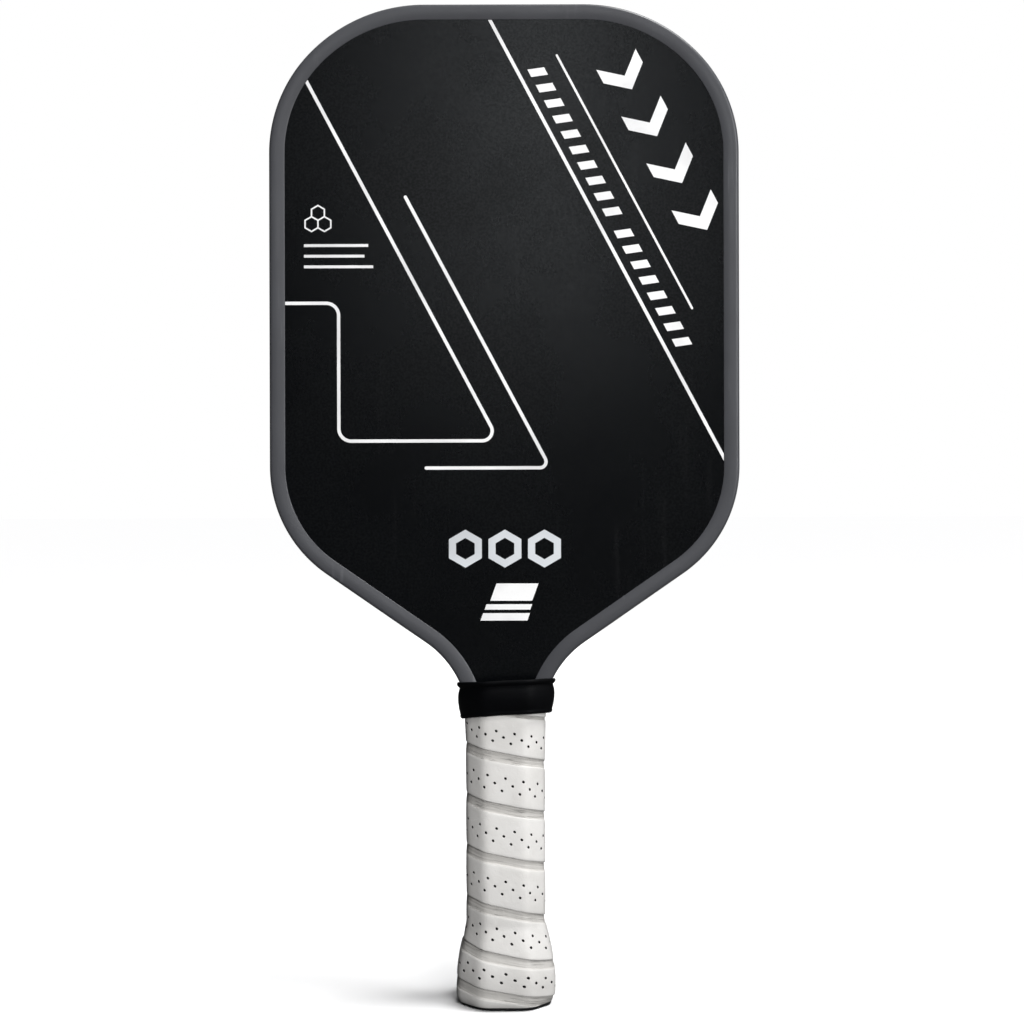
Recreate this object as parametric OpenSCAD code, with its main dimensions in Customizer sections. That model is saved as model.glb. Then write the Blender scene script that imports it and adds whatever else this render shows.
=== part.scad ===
// Pickleball paddle: a honeycomb-cored carbon blade in a moulded edge guard, with an
// eight-sided wrapped handle, a flared butt cap and a stretchy band over the end of the grip.
// Millimetres. The paddle stands on its butt: +Z runs up the handle to the blade,
// +X is to the right of the front face, and the front face looks along -Y.

/* [Blade] */
// Height from the butt to the top of the edge guard
overall_l = 405; // [395:1:425]
// Width across the edge guard
head_w = 190.5; // [185:0.5:200]
// Radius of the top corners where they leave the flat top
crown_r = 65; // [60:1:70]
// Radius of the top corners where they meet the sides
shoulder_r = 58; // [50:1:64]
// Share of the top corner's quarter turn that has the crown radius, in degrees
crown_turn = 46; // [40:1:50]
// Length of the straight sides
side_l = 127; // [115:1:140]
// Radius of the lower corners
lower_r = 53; // [45:1:60]
// Turn from the side to the slope above the handle, in degrees
slope_turn = 55.3; // [50:0.1:58]
// Radius where the slope turns down into the handle
throat_r = 40; // [36:1:44]
// Width across the edge guard where it would reach the handle
neck_w = 30; // [28:1:32]
// Thickness of the blade over both carbon skins
blade_t = 16; // [13:0.5:16.2]

/* [Laminate] */
// Thickness of each carbon skin
skin_t = 0.55; // [0.4:0.05:0.8]
// Thickness of the film that bonds a skin to the core
film_t = 0.15; // [0.1:0.05:0.2]
// Honeycomb cell pitch
cell_pitch = 8.2; // [7.5:0.1:10]
// Honeycomb cell wall
cell_wall = 0.4; // [0.3:0.1:0.6]
// Solid margin of the core along its cut edge
core_rim = 0.8; // [0.6:0.1:1.5]

/* [Edge guard] */
// Thickness of the guard's outer wall
guard_wall = 1.5; // [1.2:0.1:2]
// How far the guard reaches in from the edge
guard_reach = 6.5; // [5.5:0.1:7]
// Thickness of the guard over both lips
guard_t = 18; // [17:0.5:19]
// Thickness of the foam tape between the guard and the blade
guard_tape_t = 0.4; // [0.3:0.1:0.5]
// Height where the two ends of the guard stop
guard_end_z = 125; // [122:1:127]

/* [Handle] */
// Width of the wrapped handle
handle_w = 32; // [31:0.5:34]
// Depth of the wrapped handle, front to back
handle_d = 30; // [29:0.5:32]
// Corner cut of the eight-sided handle
handle_cut = 7.5; // [7:0.5:8]
// Thickness of the perforated top layer of the grip
wrap_t = 0.8; // [0.6:0.1:1]
// Thickness of the foam backing under it
foam_t = 1.2; // [1:0.1:1.4]
// Top of the wrapped grip
wrap_top_z = 124.5; // [120:0.5:124.5]
// Width of the blade's tongue inside the handle
tongue_w = 21.8; // [20:0.1:21.8]
// Thickness of the glue between the tongue and each handle shell
shell_glue_t = 0.2; // [0.1:0.1:0.3]

/* [Butt cap] */
// Height of the flare at the butt
flare_top_z = 33; // [30:1:36]
// How far the flare stands out from the handle
flare_out = 4; // [3:0.1:4.5]
// Top of the butt cap's socket
cap_top_z = 30; // [26:1:32]
// Thickness of the butt cap's base
cap_base_t = 3; // [2.5:0.5:4]
// Height of the bare rim below the grip
rim_h = 1.3; // [1:0.1:1.6]
// Diameter of the end disc in the base
disc_d = 24; // [18:1:26]

/* [Grip band] */
// Height of the stretchy band
band_h = 14; // [12:0.5:16]
// Bottom of the band where it sits at rest
band_z = 116.5; // [116:0.5:117]
// Wall of the band
band_wall = 1.4; // [1.2:0.1:1.6]
// Width of the finishing tape under the band
finish_tape_w = 7; // [6:0.5:7]

/* [Print] */
// Thickness of the printed ink
ink_t = 0.08; // [0.06:0.01:0.1]
// Width of the main pinstripes
stripe_w = 1.35; // [1:0.05:2]
// Width of the fine pinstripe
fine_stripe_w = 0.9; // [0.6:0.1:1.2]
// Lean of the slanted stripes from upright, in degrees
stripe_lean = 28; // [26:0.5:30]

/* [Hidden] */

arc_step = 3;                       // degrees between the points of a drawn arc
half_head = head_w / 2;
half_neck = neck_w / 2;
blade_inset = guard_wall + guard_tape_t;
core_t = blade_t - 2 * (skin_t + film_t);
tongue_bottom_z = cap_base_t + 1;
shell_top_z = guard_end_z - 0.2;
spigot_step = 1.2;                  // how much the shells step in where the butt cap slips over
grip_t = wrap_t + foam_t;
half_diag = (handle_w / 2 + handle_d / 2 - handle_cut) / sqrt(2);
flare_full_z = 10;                  // height below which the flare has its full width
foot_round_r = 5;                   // rounding of the flare's lower edge
foot_round_z = 4.2;                 // height where that rounding starts
far = 80;                           // longer than anything that is cut

// ---- Outline of the head -------------------------------------------------------------
// The right half is a path of [length, 0] straights and [radius, turn] arcs from the top
// centre down to the neck; a positive turn is to the right. grow moves it outwards. The last
// arc, which stops at guard_end_z whatever its radius, also says how many spans it has.

top_flat = half_head - crown_r * sin(crown_turn) - shoulder_r * (1 - sin(crown_turn));
slope_l = (half_head - half_neck - (lower_r + throat_r) * (1 - cos(slope_turn))) / sin(slope_turn);
neck_z = overall_l - crown_r * (1 - cos(crown_turn)) - shoulder_r * cos(crown_turn) - side_l
    - (lower_r + throat_r) * sin(slope_turn) - slope_l * cos(slope_turn);

function throat_end(grow) = asin((guard_end_z - neck_z) / (throat_r - grow));
function spans(turn) = ceil(abs(turn) / arc_step);

function head_path(grow) = [
    [top_flat, 0],
    [crown_r + grow, crown_turn],
    [shoulder_r + grow, 90 - crown_turn],
    [side_l, 0],
    [lower_r + grow, slope_turn],
    [slope_l, 0],
    [throat_r - grow, throat_end(grow) - slope_turn, spans(slope_turn - throat_end(0))]
];

// A place on a path is [x, z, heading], and a step carries it along one stretch.
function side_of(stretch) = sign(stretch[1]);
function arc_centre(at, stretch) =
    [at[0], at[1]] + side_of(stretch) * stretch[0] * [sin(at[2]), -cos(at[2])];
function arc_point(at, stretch, turned) =
    arc_centre(at, stretch)
    - side_of(stretch) * stretch[0] * [sin(at[2] - turned), -cos(at[2] - turned)];
function step(at, stretch) =
    stretch[1] == 0
    ? [at[0] + stretch[0] * cos(at[2]), at[1] + stretch[0] * sin(at[2]), at[2]]
    : concat(arc_point(at, stretch, stretch[1]), at[2] - stretch[1]);
function places(start, path) =
    [for (i = 0, at = start; i <= len(path); at = i < len(path) ? step(at, path[i]) : at, i = i + 1) at];
function path_points(start, path) = let (at = places(start, path)) [
    for (i = [0:len(path) - 1])
        if (path[i][1] == 0) each [[at[i][0], at[i][1]]]
        else let (n = len(path[i]) > 2 ? path[i][2] : spans(path[i][1]))
            each [for (k = [0:n - 1]) arc_point(at[i], path[i], path[i][1] * k / n)],
    [at[len(path)][0], at[len(path)][1]]
];

function head_start(grow) = [0, overall_l + grow, 0];
function half_outline(grow) = path_points(head_start(grow), head_path(grow));
function reversed(list) = [for (i = [len(list) - 1:-1:0]) list[i]];
function mirrored(points) = [for (i = [len(points) - 1:-1:1]) [-points[i][0], points[i][1]]];
function head_outline(grow) = let (half = half_outline(grow)) concat(half, mirrored(half));
function blade_outline() = let (
    half = concat(
        half_outline(-blade_inset),
        [[tongue_w / 2, guard_end_z], [tongue_w / 2, tongue_bottom_z]]
    )
) concat(half, mirrored(half));

// A flat plate in the blade's plane, from y = low to y = high.
module plate(low, high) {
    translate([0, high, 0])
        rotate([90, 0, 0])
            linear_extrude(high - low) children();
}

// One closed solid that carries a section round the head from one end of the guard to the other.
// A section point is [outwards, through the blade's thickness], listed anticlockwise.
module round_the_head(section) {
    rings = [for (p = section) let (half = half_outline(p[0])) concat(mirrored(half), half)];
    n = len(rings[0]);
    m = len(section);
    polyhedron(
        points = [for (j = [0:m - 1]) for (p = rings[j]) [p[0], section[j][1], p[1]]],
        faces = concat(
            [for (j = [0:m - 1], i = [0:n - 2])
                [j * n + i, (j + 1) % m * n + i, (j + 1) % m * n + i + 1, j * n + i + 1]],
            [[for (j = [m - 1:-1:0]) j * n], [for (j = [0:m - 1]) j * n + n - 1]]
        )
    );
}

// ---- Eight-sided sections ------------------------------------------------------------
// A level is [z, half width, half depth, half distance across the corner flats].

function octagon(half_w, half_d, half_c) =
    let (a = half_c * sqrt(2) - half_d, b = half_c * sqrt(2) - half_w)
    [[a, -half_d], [half_w, -b], [half_w, b], [a, half_d],
        [-a, half_d], [-half_w, b], [-half_w, -b], [-a, -half_d]];
function level_ring(level) =
    [for (p = octagon(level[1], level[2], level[3])) [p[0], p[1], level[0]]];

// The strips of faces between each level and the next, and from the last to the first if closed.
function level_faces(n, closed) = [
    for (i = [0:closed ? n - 1 : n - 2], k = [0:7])
        let (up = (i + 1) % n * 8, next = (k + 1) % 8)
        [i * 8 + k, up + k, up + next, i * 8 + next]
];

// A solid through a list of levels that ends in two flats.
module eight_sided(levels) {
    n = len(levels);
    polyhedron(
        points = [for (level = levels) each level_ring(level)],
        faces = concat([[for (k = [0:7]) k]], level_faces(n, false), [[for (k = [7:-1:0]) (n - 1) * 8 + k]])
    );
}

// A ring through a list of levels that runs up its outside and down its inside.
module eight_sided_ring(levels) {
    polyhedron(
        points = [for (level = levels) each level_ring(level)],
        faces = level_faces(len(levels), true)
    );
}

// A straight prism with the handle's section, this much below the grip's outer surface.
module handle_prism(depth, low, high) {
    translate([0, 0, low])
        linear_extrude(high - low)
            polygon(octagon(handle_w / 2 - depth, handle_d / 2 - depth, half_diag - depth));
}

// The grip's outer surface stands out by this much at height z: a quarter sine that swells
// from the handle to the full flare, less the rounding of its foot.
function swell(z) =
    let (t = min(1, max(0, (flare_top_z - z) / (flare_top_z - flare_full_z))))
    flare_out * pow(sin(90 * t), 1.25)
    - (z < foot_round_z ? foot_round_r - sqrt(pow(foot_round_r, 2) - pow(foot_round_z - z, 2)) : 0);
function grip_level(z, depth) =
    let (out = swell(z) - depth)
    [z, handle_w / 2 + out, handle_d / 2 + out, half_diag + out];
flare_zs = [2.6, 4.2, 10, 14, 18, 22, 25, 28, 31, 33];
function flare_heights(low, high) = concat(low, [for (z = flare_zs) if (z > low && z < high) z], high);

module grip_sleeve(outer_depth, inner_depth, low, high) {
    heights = flare_heights(low, high);
    eight_sided_ring(concat(
        [for (z = heights) grip_level(z, outer_depth)],
        [for (z = reversed(heights)) grip_level(z, inner_depth)]
    ));
}

// ---- Blade ---------------------------------------------------------------------------

module blade_sheet(low, high) {
    plate(low, high) polygon(blade_outline());
}

// Is the whole cell at [x, z] inside the core's solid rim? The head's outline is tested by
// its distance from the edges of the outline, and the tongue by its straight sides.
function edge_distance(p, a, b) =
    let (d = b - a, t = min(1, max(0, (p - a) * d / (d * d)))) norm(p - a - t * d);
function clear_of_edges(p, outline, gap) =
    min([for (i = [0:len(outline) - 1])
        edge_distance(p, outline[i], outline[(i + 1) % len(outline)])]) > gap;
function crossings(p, outline) = len([
    for (i = [0:len(outline) - 1])
        let (a = outline[i], b = outline[(i + 1) % len(outline)])
        if ((a[1] > p[1]) != (b[1] > p[1])
            && p[0] < (b[0] - a[0]) * (p[1] - a[1]) / (b[1] - a[1]) + a[0]) 1
]);
function cell_centres() = let (
    outline = blade_outline(),
    row_h = cell_pitch * sqrt(3) / 2,
    gap = (cell_pitch - cell_wall) / sqrt(3) + core_rim,
    columns = ceil(half_head / cell_pitch),
    rows = floor(overall_l / row_h)
) [
    for (row = [0:rows], column = [-columns:columns])
        let (p = [(column + (row % 2) / 2) * cell_pitch, row * row_h])
        if (crossings(p, outline) % 2 == 1 && clear_of_edges(p, outline, gap)) p
];

module honeycomb_core() {
    color("ivory")
        plate(-core_t / 2, core_t / 2)
            difference() {
                polygon(blade_outline());
                for (p = cell_centres())
                    translate(p)
                        rotate(30)
                            circle(r = (cell_pitch - cell_wall) / sqrt(3), $fn = 6);
            }
}

module bond_film(side) {
    inner = core_t / 2;
    color("khaki")
        blade_sheet(min(side * inner, side * (inner + film_t)), max(side * inner, side * (inner + film_t)));
}

module carbon_skin(side) {
    inner = core_t / 2 + film_t;
    outer = blade_t / 2;
    color("dimgray")
        blade_sheet(min(side * inner, side * outer), max(side * inner, side * outer));
}

// ---- Print ---------------------------------------------------------------------------
// Ink lies on the skin inside the guard's lips. Lines run in a frame of x and height.

module ink_window() {
    polygon(head_outline(-guard_reach - 0.1));
}

// A stripe of width w along a path, with round ends.
function stripe_outline(start, path, w) = let (
    normal = [-sin(start[2]), cos(start[2])],
    left = path_points([start[0] + normal[0] * w / 2, start[1] + normal[1] * w / 2, start[2]],
        [for (s = path) s[1] == 0 ? s : [s[0] + side_of(s) * w / 2, s[1]]]),
    right = path_points([start[0] - normal[0] * w / 2, start[1] - normal[1] * w / 2, start[2]],
        [for (s = path) s[1] == 0 ? s : [s[0] - side_of(s) * w / 2, s[1]]]),
    at = places(start, path),
    finish = at[len(path)],
    cap_angles = [30:30:150]
) concat(
    left,
    [for (a = cap_angles) [finish[0], finish[1]] + w / 2 * [cos(finish[2] + 90 - a), sin(finish[2] + 90 - a)]],
    [for (i = [len(right) - 1:-1:0]) right[i]],
    [for (a = cap_angles) [start[0], start[1]] - w / 2 * [cos(start[2] + 90 - a), sin(start[2] + 90 - a)]]
);

module stripe(start, path, w) {
    polygon(stripe_outline(start, path, w));
}

down_right = stripe_lean - 90;       // heading of a slanted stripe
corner_turn = 180 - (90 - stripe_lean);

// A frame whose x runs down along the slanted stripes and whose y is to their right-hand upper side.
module on_slant(origin) {
    translate(origin) rotate(down_right) children();
}

module slanted_bar(length, height) {
    lean = height * tan(20);
    polygon([[0, 0], [length, 0], [length + lean, height], [lean, height]]);
}

module chevron(height, stroke) {
    nose = height * 0.42;
    polygon([
        [0, 0], [stroke, 0], [stroke + nose, height / 2], [stroke, height],
        [0, height], [nose, height / 2]
    ]);
}

module hexagon_ring(height, stroke) {
    difference() {
        circle(d = height, $fn = 6);
        circle(d = height - 2 * stroke / cos(30), $fn = 6);
    }
}

module cell_mark(across, stroke) {
    reach = across / sqrt(3);
    for (angle = [90, 210, 330])
        translate(reach * [cos(angle), sin(angle)])
            rotate(30) hexagon_ring((across + stroke) / cos(30), stroke);
}

module pinstripes() {
    // the long stripe from the top of the blade to its right edge
    stripe([-8, 403, down_right], [[250, 0]], stripe_w);
    // the fine stripe beside it
    stripe([21.5, 384, down_right], [[116, 0]], fine_stripe_w);
    // the outer stripe, which comes down, turns along the bottom and steps back to the left edge
    stripe([-85, 383.5, down_right],
        [[169.3, 0], [4, corner_turn], [53, 0], [5, 90], [45.8, 0], [5, -90], [40, 0]], stripe_w);
    // the inner stripe, which comes down and turns along the bottom
    stripe([-39.9, 326.8, down_right], [[120, 0], [2.5, corner_turn], [46, 0]], stripe_w);
}

module slanted_blocks() {
    chevrons = 4;
    for (i = [0:chevrons - 1])
        on_slant([33, 378]) translate([2 + i * 21.5, 4]) chevron(18, 6.2);
    bars = 18;
    for (i = [0:bars - 1])
        on_slant([11, 379]) translate([i * 7.1 + (i > 9 ? 3 : 0), -1.6]) slanted_bar(3.4, 6.4);
}

module greeked_note() {
    rows = [26, 24.5, 28];
    for (i = [0:len(rows) - 1])
        translate([-81, 306.7 - i * 4.3]) square([rows[i], 1.15]);
    translate([-75.3, 317.5]) cell_mark(5.2, 0.6);
}

module small_badge() {
    translate([-6, 163.4]) slanted_bar(17, 7);
    translate([-8.3, 159.8]) slanted_bar(18.5, 2.2);
    translate([-10, 155.4]) slanted_bar(19, 3);
}

module white_artwork() {
    pinstripes();
    slanted_blocks();
    greeked_note();
    small_badge();
}

module front_print_white() {
    color("white")
        plate(-blade_t / 2 - ink_t, -blade_t / 2)
            intersection() {
                ink_window();
                white_artwork();
            }
}

module front_print_silver() {
    color("silver")
        plate(-blade_t / 2 - ink_t, -blade_t / 2)
            for (i = [-1:1]) translate([i * 16, 184.5]) rotate(30) hexagon_ring(15.4, 2.9);
}

module rear_print_white() {
    color("white")
        rotate([0, 0, 180])
            plate(-blade_t / 2 - ink_t, -blade_t / 2)
                intersection() {
                    ink_window();
                    pinstripes();
                }
}

// ---- Edge guard ----------------------------------------------------------------------

// The guard's section: x is 0 at its outer face and negative towards the blade. Its outside is
// a flat wall with elliptical shoulders, and each lip thins towards its tip.
shoulder_w = 3;
shoulder_t = 4.5;
tip_t = 0.45;
function guard_shoulder(side) = [
    for (a = [90:-18:0])
        [-shoulder_w * (1 - cos(a)), side * (guard_t / 2 - shoulder_t + shoulder_t * sin(a))]
];

function guard_section() = let (inside = blade_t / 2) concat(
    guard_shoulder(-1),
    reversed(guard_shoulder(1)),
    [
        [-guard_reach + 0.4, inside + tip_t + 0.12], [-guard_reach, inside + tip_t - 0.1],
        [-guard_reach, inside], [-guard_wall, inside],
        [-guard_wall, -inside], [-guard_reach, -inside],
        [-guard_reach, -inside - tip_t + 0.1], [-guard_reach + 0.4, -inside - tip_t - 0.12]
    ]
);

module edge_guard() {
    color("dimgray") round_the_head(guard_section());
}

module edge_guard_tape() {
    color("gainsboro")
        plate(-blade_t / 2, blade_t / 2)
            difference() {
                polygon(head_outline(-guard_wall));
                polygon(blade_outline());
            }
}

// ---- Handle --------------------------------------------------------------------------

staple_w = 8;
staple_wire = 0.8;
staple_leg = 5;
staple_z = 24;
staple_x = 4.2;

// A wire staple with its crown at y = 0 and its legs along +Y.
module staple() {
    translate([-staple_w / 2, 0, -staple_wire / 2])
        difference() {
            cube([staple_w, staple_leg, staple_wire]);
            translate([staple_wire, staple_wire, -1])
                cube([staple_w - 2 * staple_wire, staple_leg, staple_wire + 2]);
        }
}

// Two staples through the front of the butt cap and two through the rear.
module butt_cap_staples() {
    crown_y = 0.1 - (handle_d / 2 + swell(staple_z + 1.5) - grip_t);
    color("silver")
        for (turn = [0, 180], side = [-1, 1])
            rotate([0, 0, turn])
                translate([side * staple_x, crown_y, staple_z])
                    rotate([0, side * 12, 0]) staple();
}

// One staple near the foot, through the start of the foam backing at the rear.
module grip_start_staple() {
    color("silver")
        rotate([0, 0, 180])
            translate([0, -(handle_d / 2 + swell(8) - grip_t) - 0.5, 8]) staple();
}

module shell_pair() {
    ramp_w = 19.6;
    ramp_foot = handle_d / 2 - grip_t - 0.4;
    difference() {
        union() {
            handle_prism(grip_t, cap_top_z, shell_top_z);
            handle_prism(grip_t + spigot_step, cap_base_t, cap_top_z + 1);
            for (turn = [0, 180])
                rotate([0, 0, turn])
                    rotate([90, 0, 90])
                        linear_extrude(ramp_w, center = true)
                            polygon([
                                [-blade_t / 2 - shell_glue_t, shell_top_z - 1], [-ramp_foot, shell_top_z - 1],
                                [-ramp_foot, shell_top_z], [-blade_t / 2 - 0.7, shell_top_z + 4.4],
                                [-blade_t / 2 - shell_glue_t, shell_top_z + 4.4]
                            ]);
        }
        translate([0, 0, tongue_bottom_z + far])
            cube([tongue_w, blade_t + 2 * shell_glue_t, 2 * far], center = true);
        butt_cap_staples();
    }
}

module handle_shell(side) {
    color("darkslategray")
        intersection() {
            shell_pair();
            translate([-far / 2, side < 0 ? -far : 0, 0]) cube([far, far, 2 * far]);
        }
}

module handle_glue(side) {
    low = side < 0 ? -blade_t / 2 - shell_glue_t : blade_t / 2;
    color("wheat")
        translate([-tongue_w / 2 + 1.7, low, tongue_bottom_z])
            cube([tongue_w - 3.4, shell_glue_t, shell_top_z + 3 - tongue_bottom_z]);
}

// ---- Butt cap ------------------------------------------------------------------------

function cap_rim_level(z, inset) =
    let (out = swell(rim_h) - 0.8 - inset)
    [z, handle_w / 2 + out, handle_d / 2 + out, half_diag + out];

module butt_cap() {
    outside = [for (z = flare_heights(rim_h, cap_top_z)) grip_level(z, grip_t)];
    color("black")
        difference() {
            eight_sided(concat(
                [cap_rim_level(0, 0.7), cap_rim_level(0.35, 0.2), cap_rim_level(0.8, 0), cap_rim_level(rim_h, 0)],
                outside
            ));
            handle_prism(grip_t + spigot_step, cap_base_t, cap_top_z + 1);
            translate([0, 0, -1]) cylinder(d = disc_d, h = 2, $fn = 96);
            butt_cap_staples();
            grip_start_staple();
        }
}

module butt_cap_disc() {
    ring_d = disc_d - 5;
    color("darkslategray")
        difference() {
            translate([0, 0, 0.15]) cylinder(d = disc_d, h = 0.85, $fn = 96);
            difference() {
                translate([0, 0, -1]) cylinder(d = ring_d, h = 1.4, $fn = 96);
                translate([0, 0, -2]) cylinder(d = ring_d - 2, h = 4, $fn = 96);
            }
        }
}

// ---- Grip ----------------------------------------------------------------------------

module grip_foam_backing() {
    color("darkgray")
        difference() {
            grip_sleeve(wrap_t, grip_t, rim_h, wrap_top_z);
            grip_start_staple();
        }
}

module grip_wrap() {
    color("whitesmoke") grip_sleeve(0, wrap_t, rim_h, wrap_top_z);
}

tape_t = 0.2;

module finishing_tape() {
    high = wrap_top_z - 0.3;
    low = high - finish_tape_w;
    color("black")
        difference() {
            handle_prism(-tape_t, low, high);
            handle_prism(0, low - 1, high + 1);
        }
}

// The band: a sleeve that widens at the top, where it stretches over the guard's ends, with a
// bead round each rim. A level is given at a height above the band's own foot.
band_gap = tape_t + 0.32;
function band_level(h, out) =
    let (spread = max(0, h - 6.5) * 0.34)
    [band_z + h, handle_w / 2 + band_gap + spread + out, handle_d / 2 + band_gap + out,
        half_diag + band_gap + spread * 0.5 + out];

module grip_band() {
    bead = 0.55;
    top = band_h;
    color("black")
        eight_sided_ring([
            band_level(0, band_wall - 0.3), band_level(0.5, band_wall + bead - 0.1),
            band_level(1.2, band_wall + bead), band_level(1.9, band_wall + bead - 0.2),
            band_level(2.5, band_wall), band_level(6.5, band_wall), band_level(top - 2.6, band_wall - 0.2),
            band_level(top - 2, band_wall + bead - 0.5), band_level(top - 1.2, band_wall + bead - 0.3),
            band_level(top - 0.5, band_wall + bead - 0.5), band_level(top, band_wall - 0.6),
            band_level(top, 0), band_level(6.5, 0), band_level(0, 0)
        ]);
}

// ---- Assembly ------------------------------------------------------------------------

honeycomb_core();
bond_film(-1);  // front_bond_film
bond_film(1);  // rear_bond_film
carbon_skin(-1);  // front_carbon_skin
carbon_skin(1);  // rear_carbon_skin
front_print_white();
front_print_silver();
rear_print_white();
edge_guard();
edge_guard_tape();
handle_shell(-1);  // front_handle_shell
handle_shell(1);  // rear_handle_shell
handle_glue(-1);  // front_handle_glue
handle_glue(1);  // rear_handle_glue
butt_cap();
butt_cap_disc();
butt_cap_staples();
grip_start_staple();
grip_foam_backing();
grip_wrap();
finishing_tape();
grip_band();
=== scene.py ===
"""A pickleball paddle: carbon blade, moulded edge guard, wound grip and rubber band.

The paddle stands on its butt with its front face towards -Y. Lengths in the dataclasses are
millimetres and become metres when a mesh is made.
"""

import logging
import math
from dataclasses import dataclass, field
from enum import Enum
from typing import Optional, Sequence

import bpy
import numpy as np
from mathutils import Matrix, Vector


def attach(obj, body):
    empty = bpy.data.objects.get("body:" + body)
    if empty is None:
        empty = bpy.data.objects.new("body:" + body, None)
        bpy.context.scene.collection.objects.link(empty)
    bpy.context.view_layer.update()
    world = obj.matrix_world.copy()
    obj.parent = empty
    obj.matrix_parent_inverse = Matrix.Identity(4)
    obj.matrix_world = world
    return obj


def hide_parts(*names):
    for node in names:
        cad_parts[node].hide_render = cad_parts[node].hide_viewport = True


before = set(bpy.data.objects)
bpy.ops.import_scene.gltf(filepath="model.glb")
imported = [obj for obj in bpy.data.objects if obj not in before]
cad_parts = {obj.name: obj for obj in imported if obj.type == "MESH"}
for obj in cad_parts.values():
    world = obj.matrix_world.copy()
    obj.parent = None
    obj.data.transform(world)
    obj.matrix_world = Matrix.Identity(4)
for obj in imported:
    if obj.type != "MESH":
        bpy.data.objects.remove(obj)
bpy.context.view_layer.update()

MM = 0.001
WELD_MM = 0.002
Points = np.ndarray
log = logging.getLogger("paddle")


class Body(Enum):
    """The rigid bodies that a piece can ride on."""

    PADDLE = "paddle"
    BAND = "band"


# ---- Meshes ------------------------------------------------------------------------------


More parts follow.
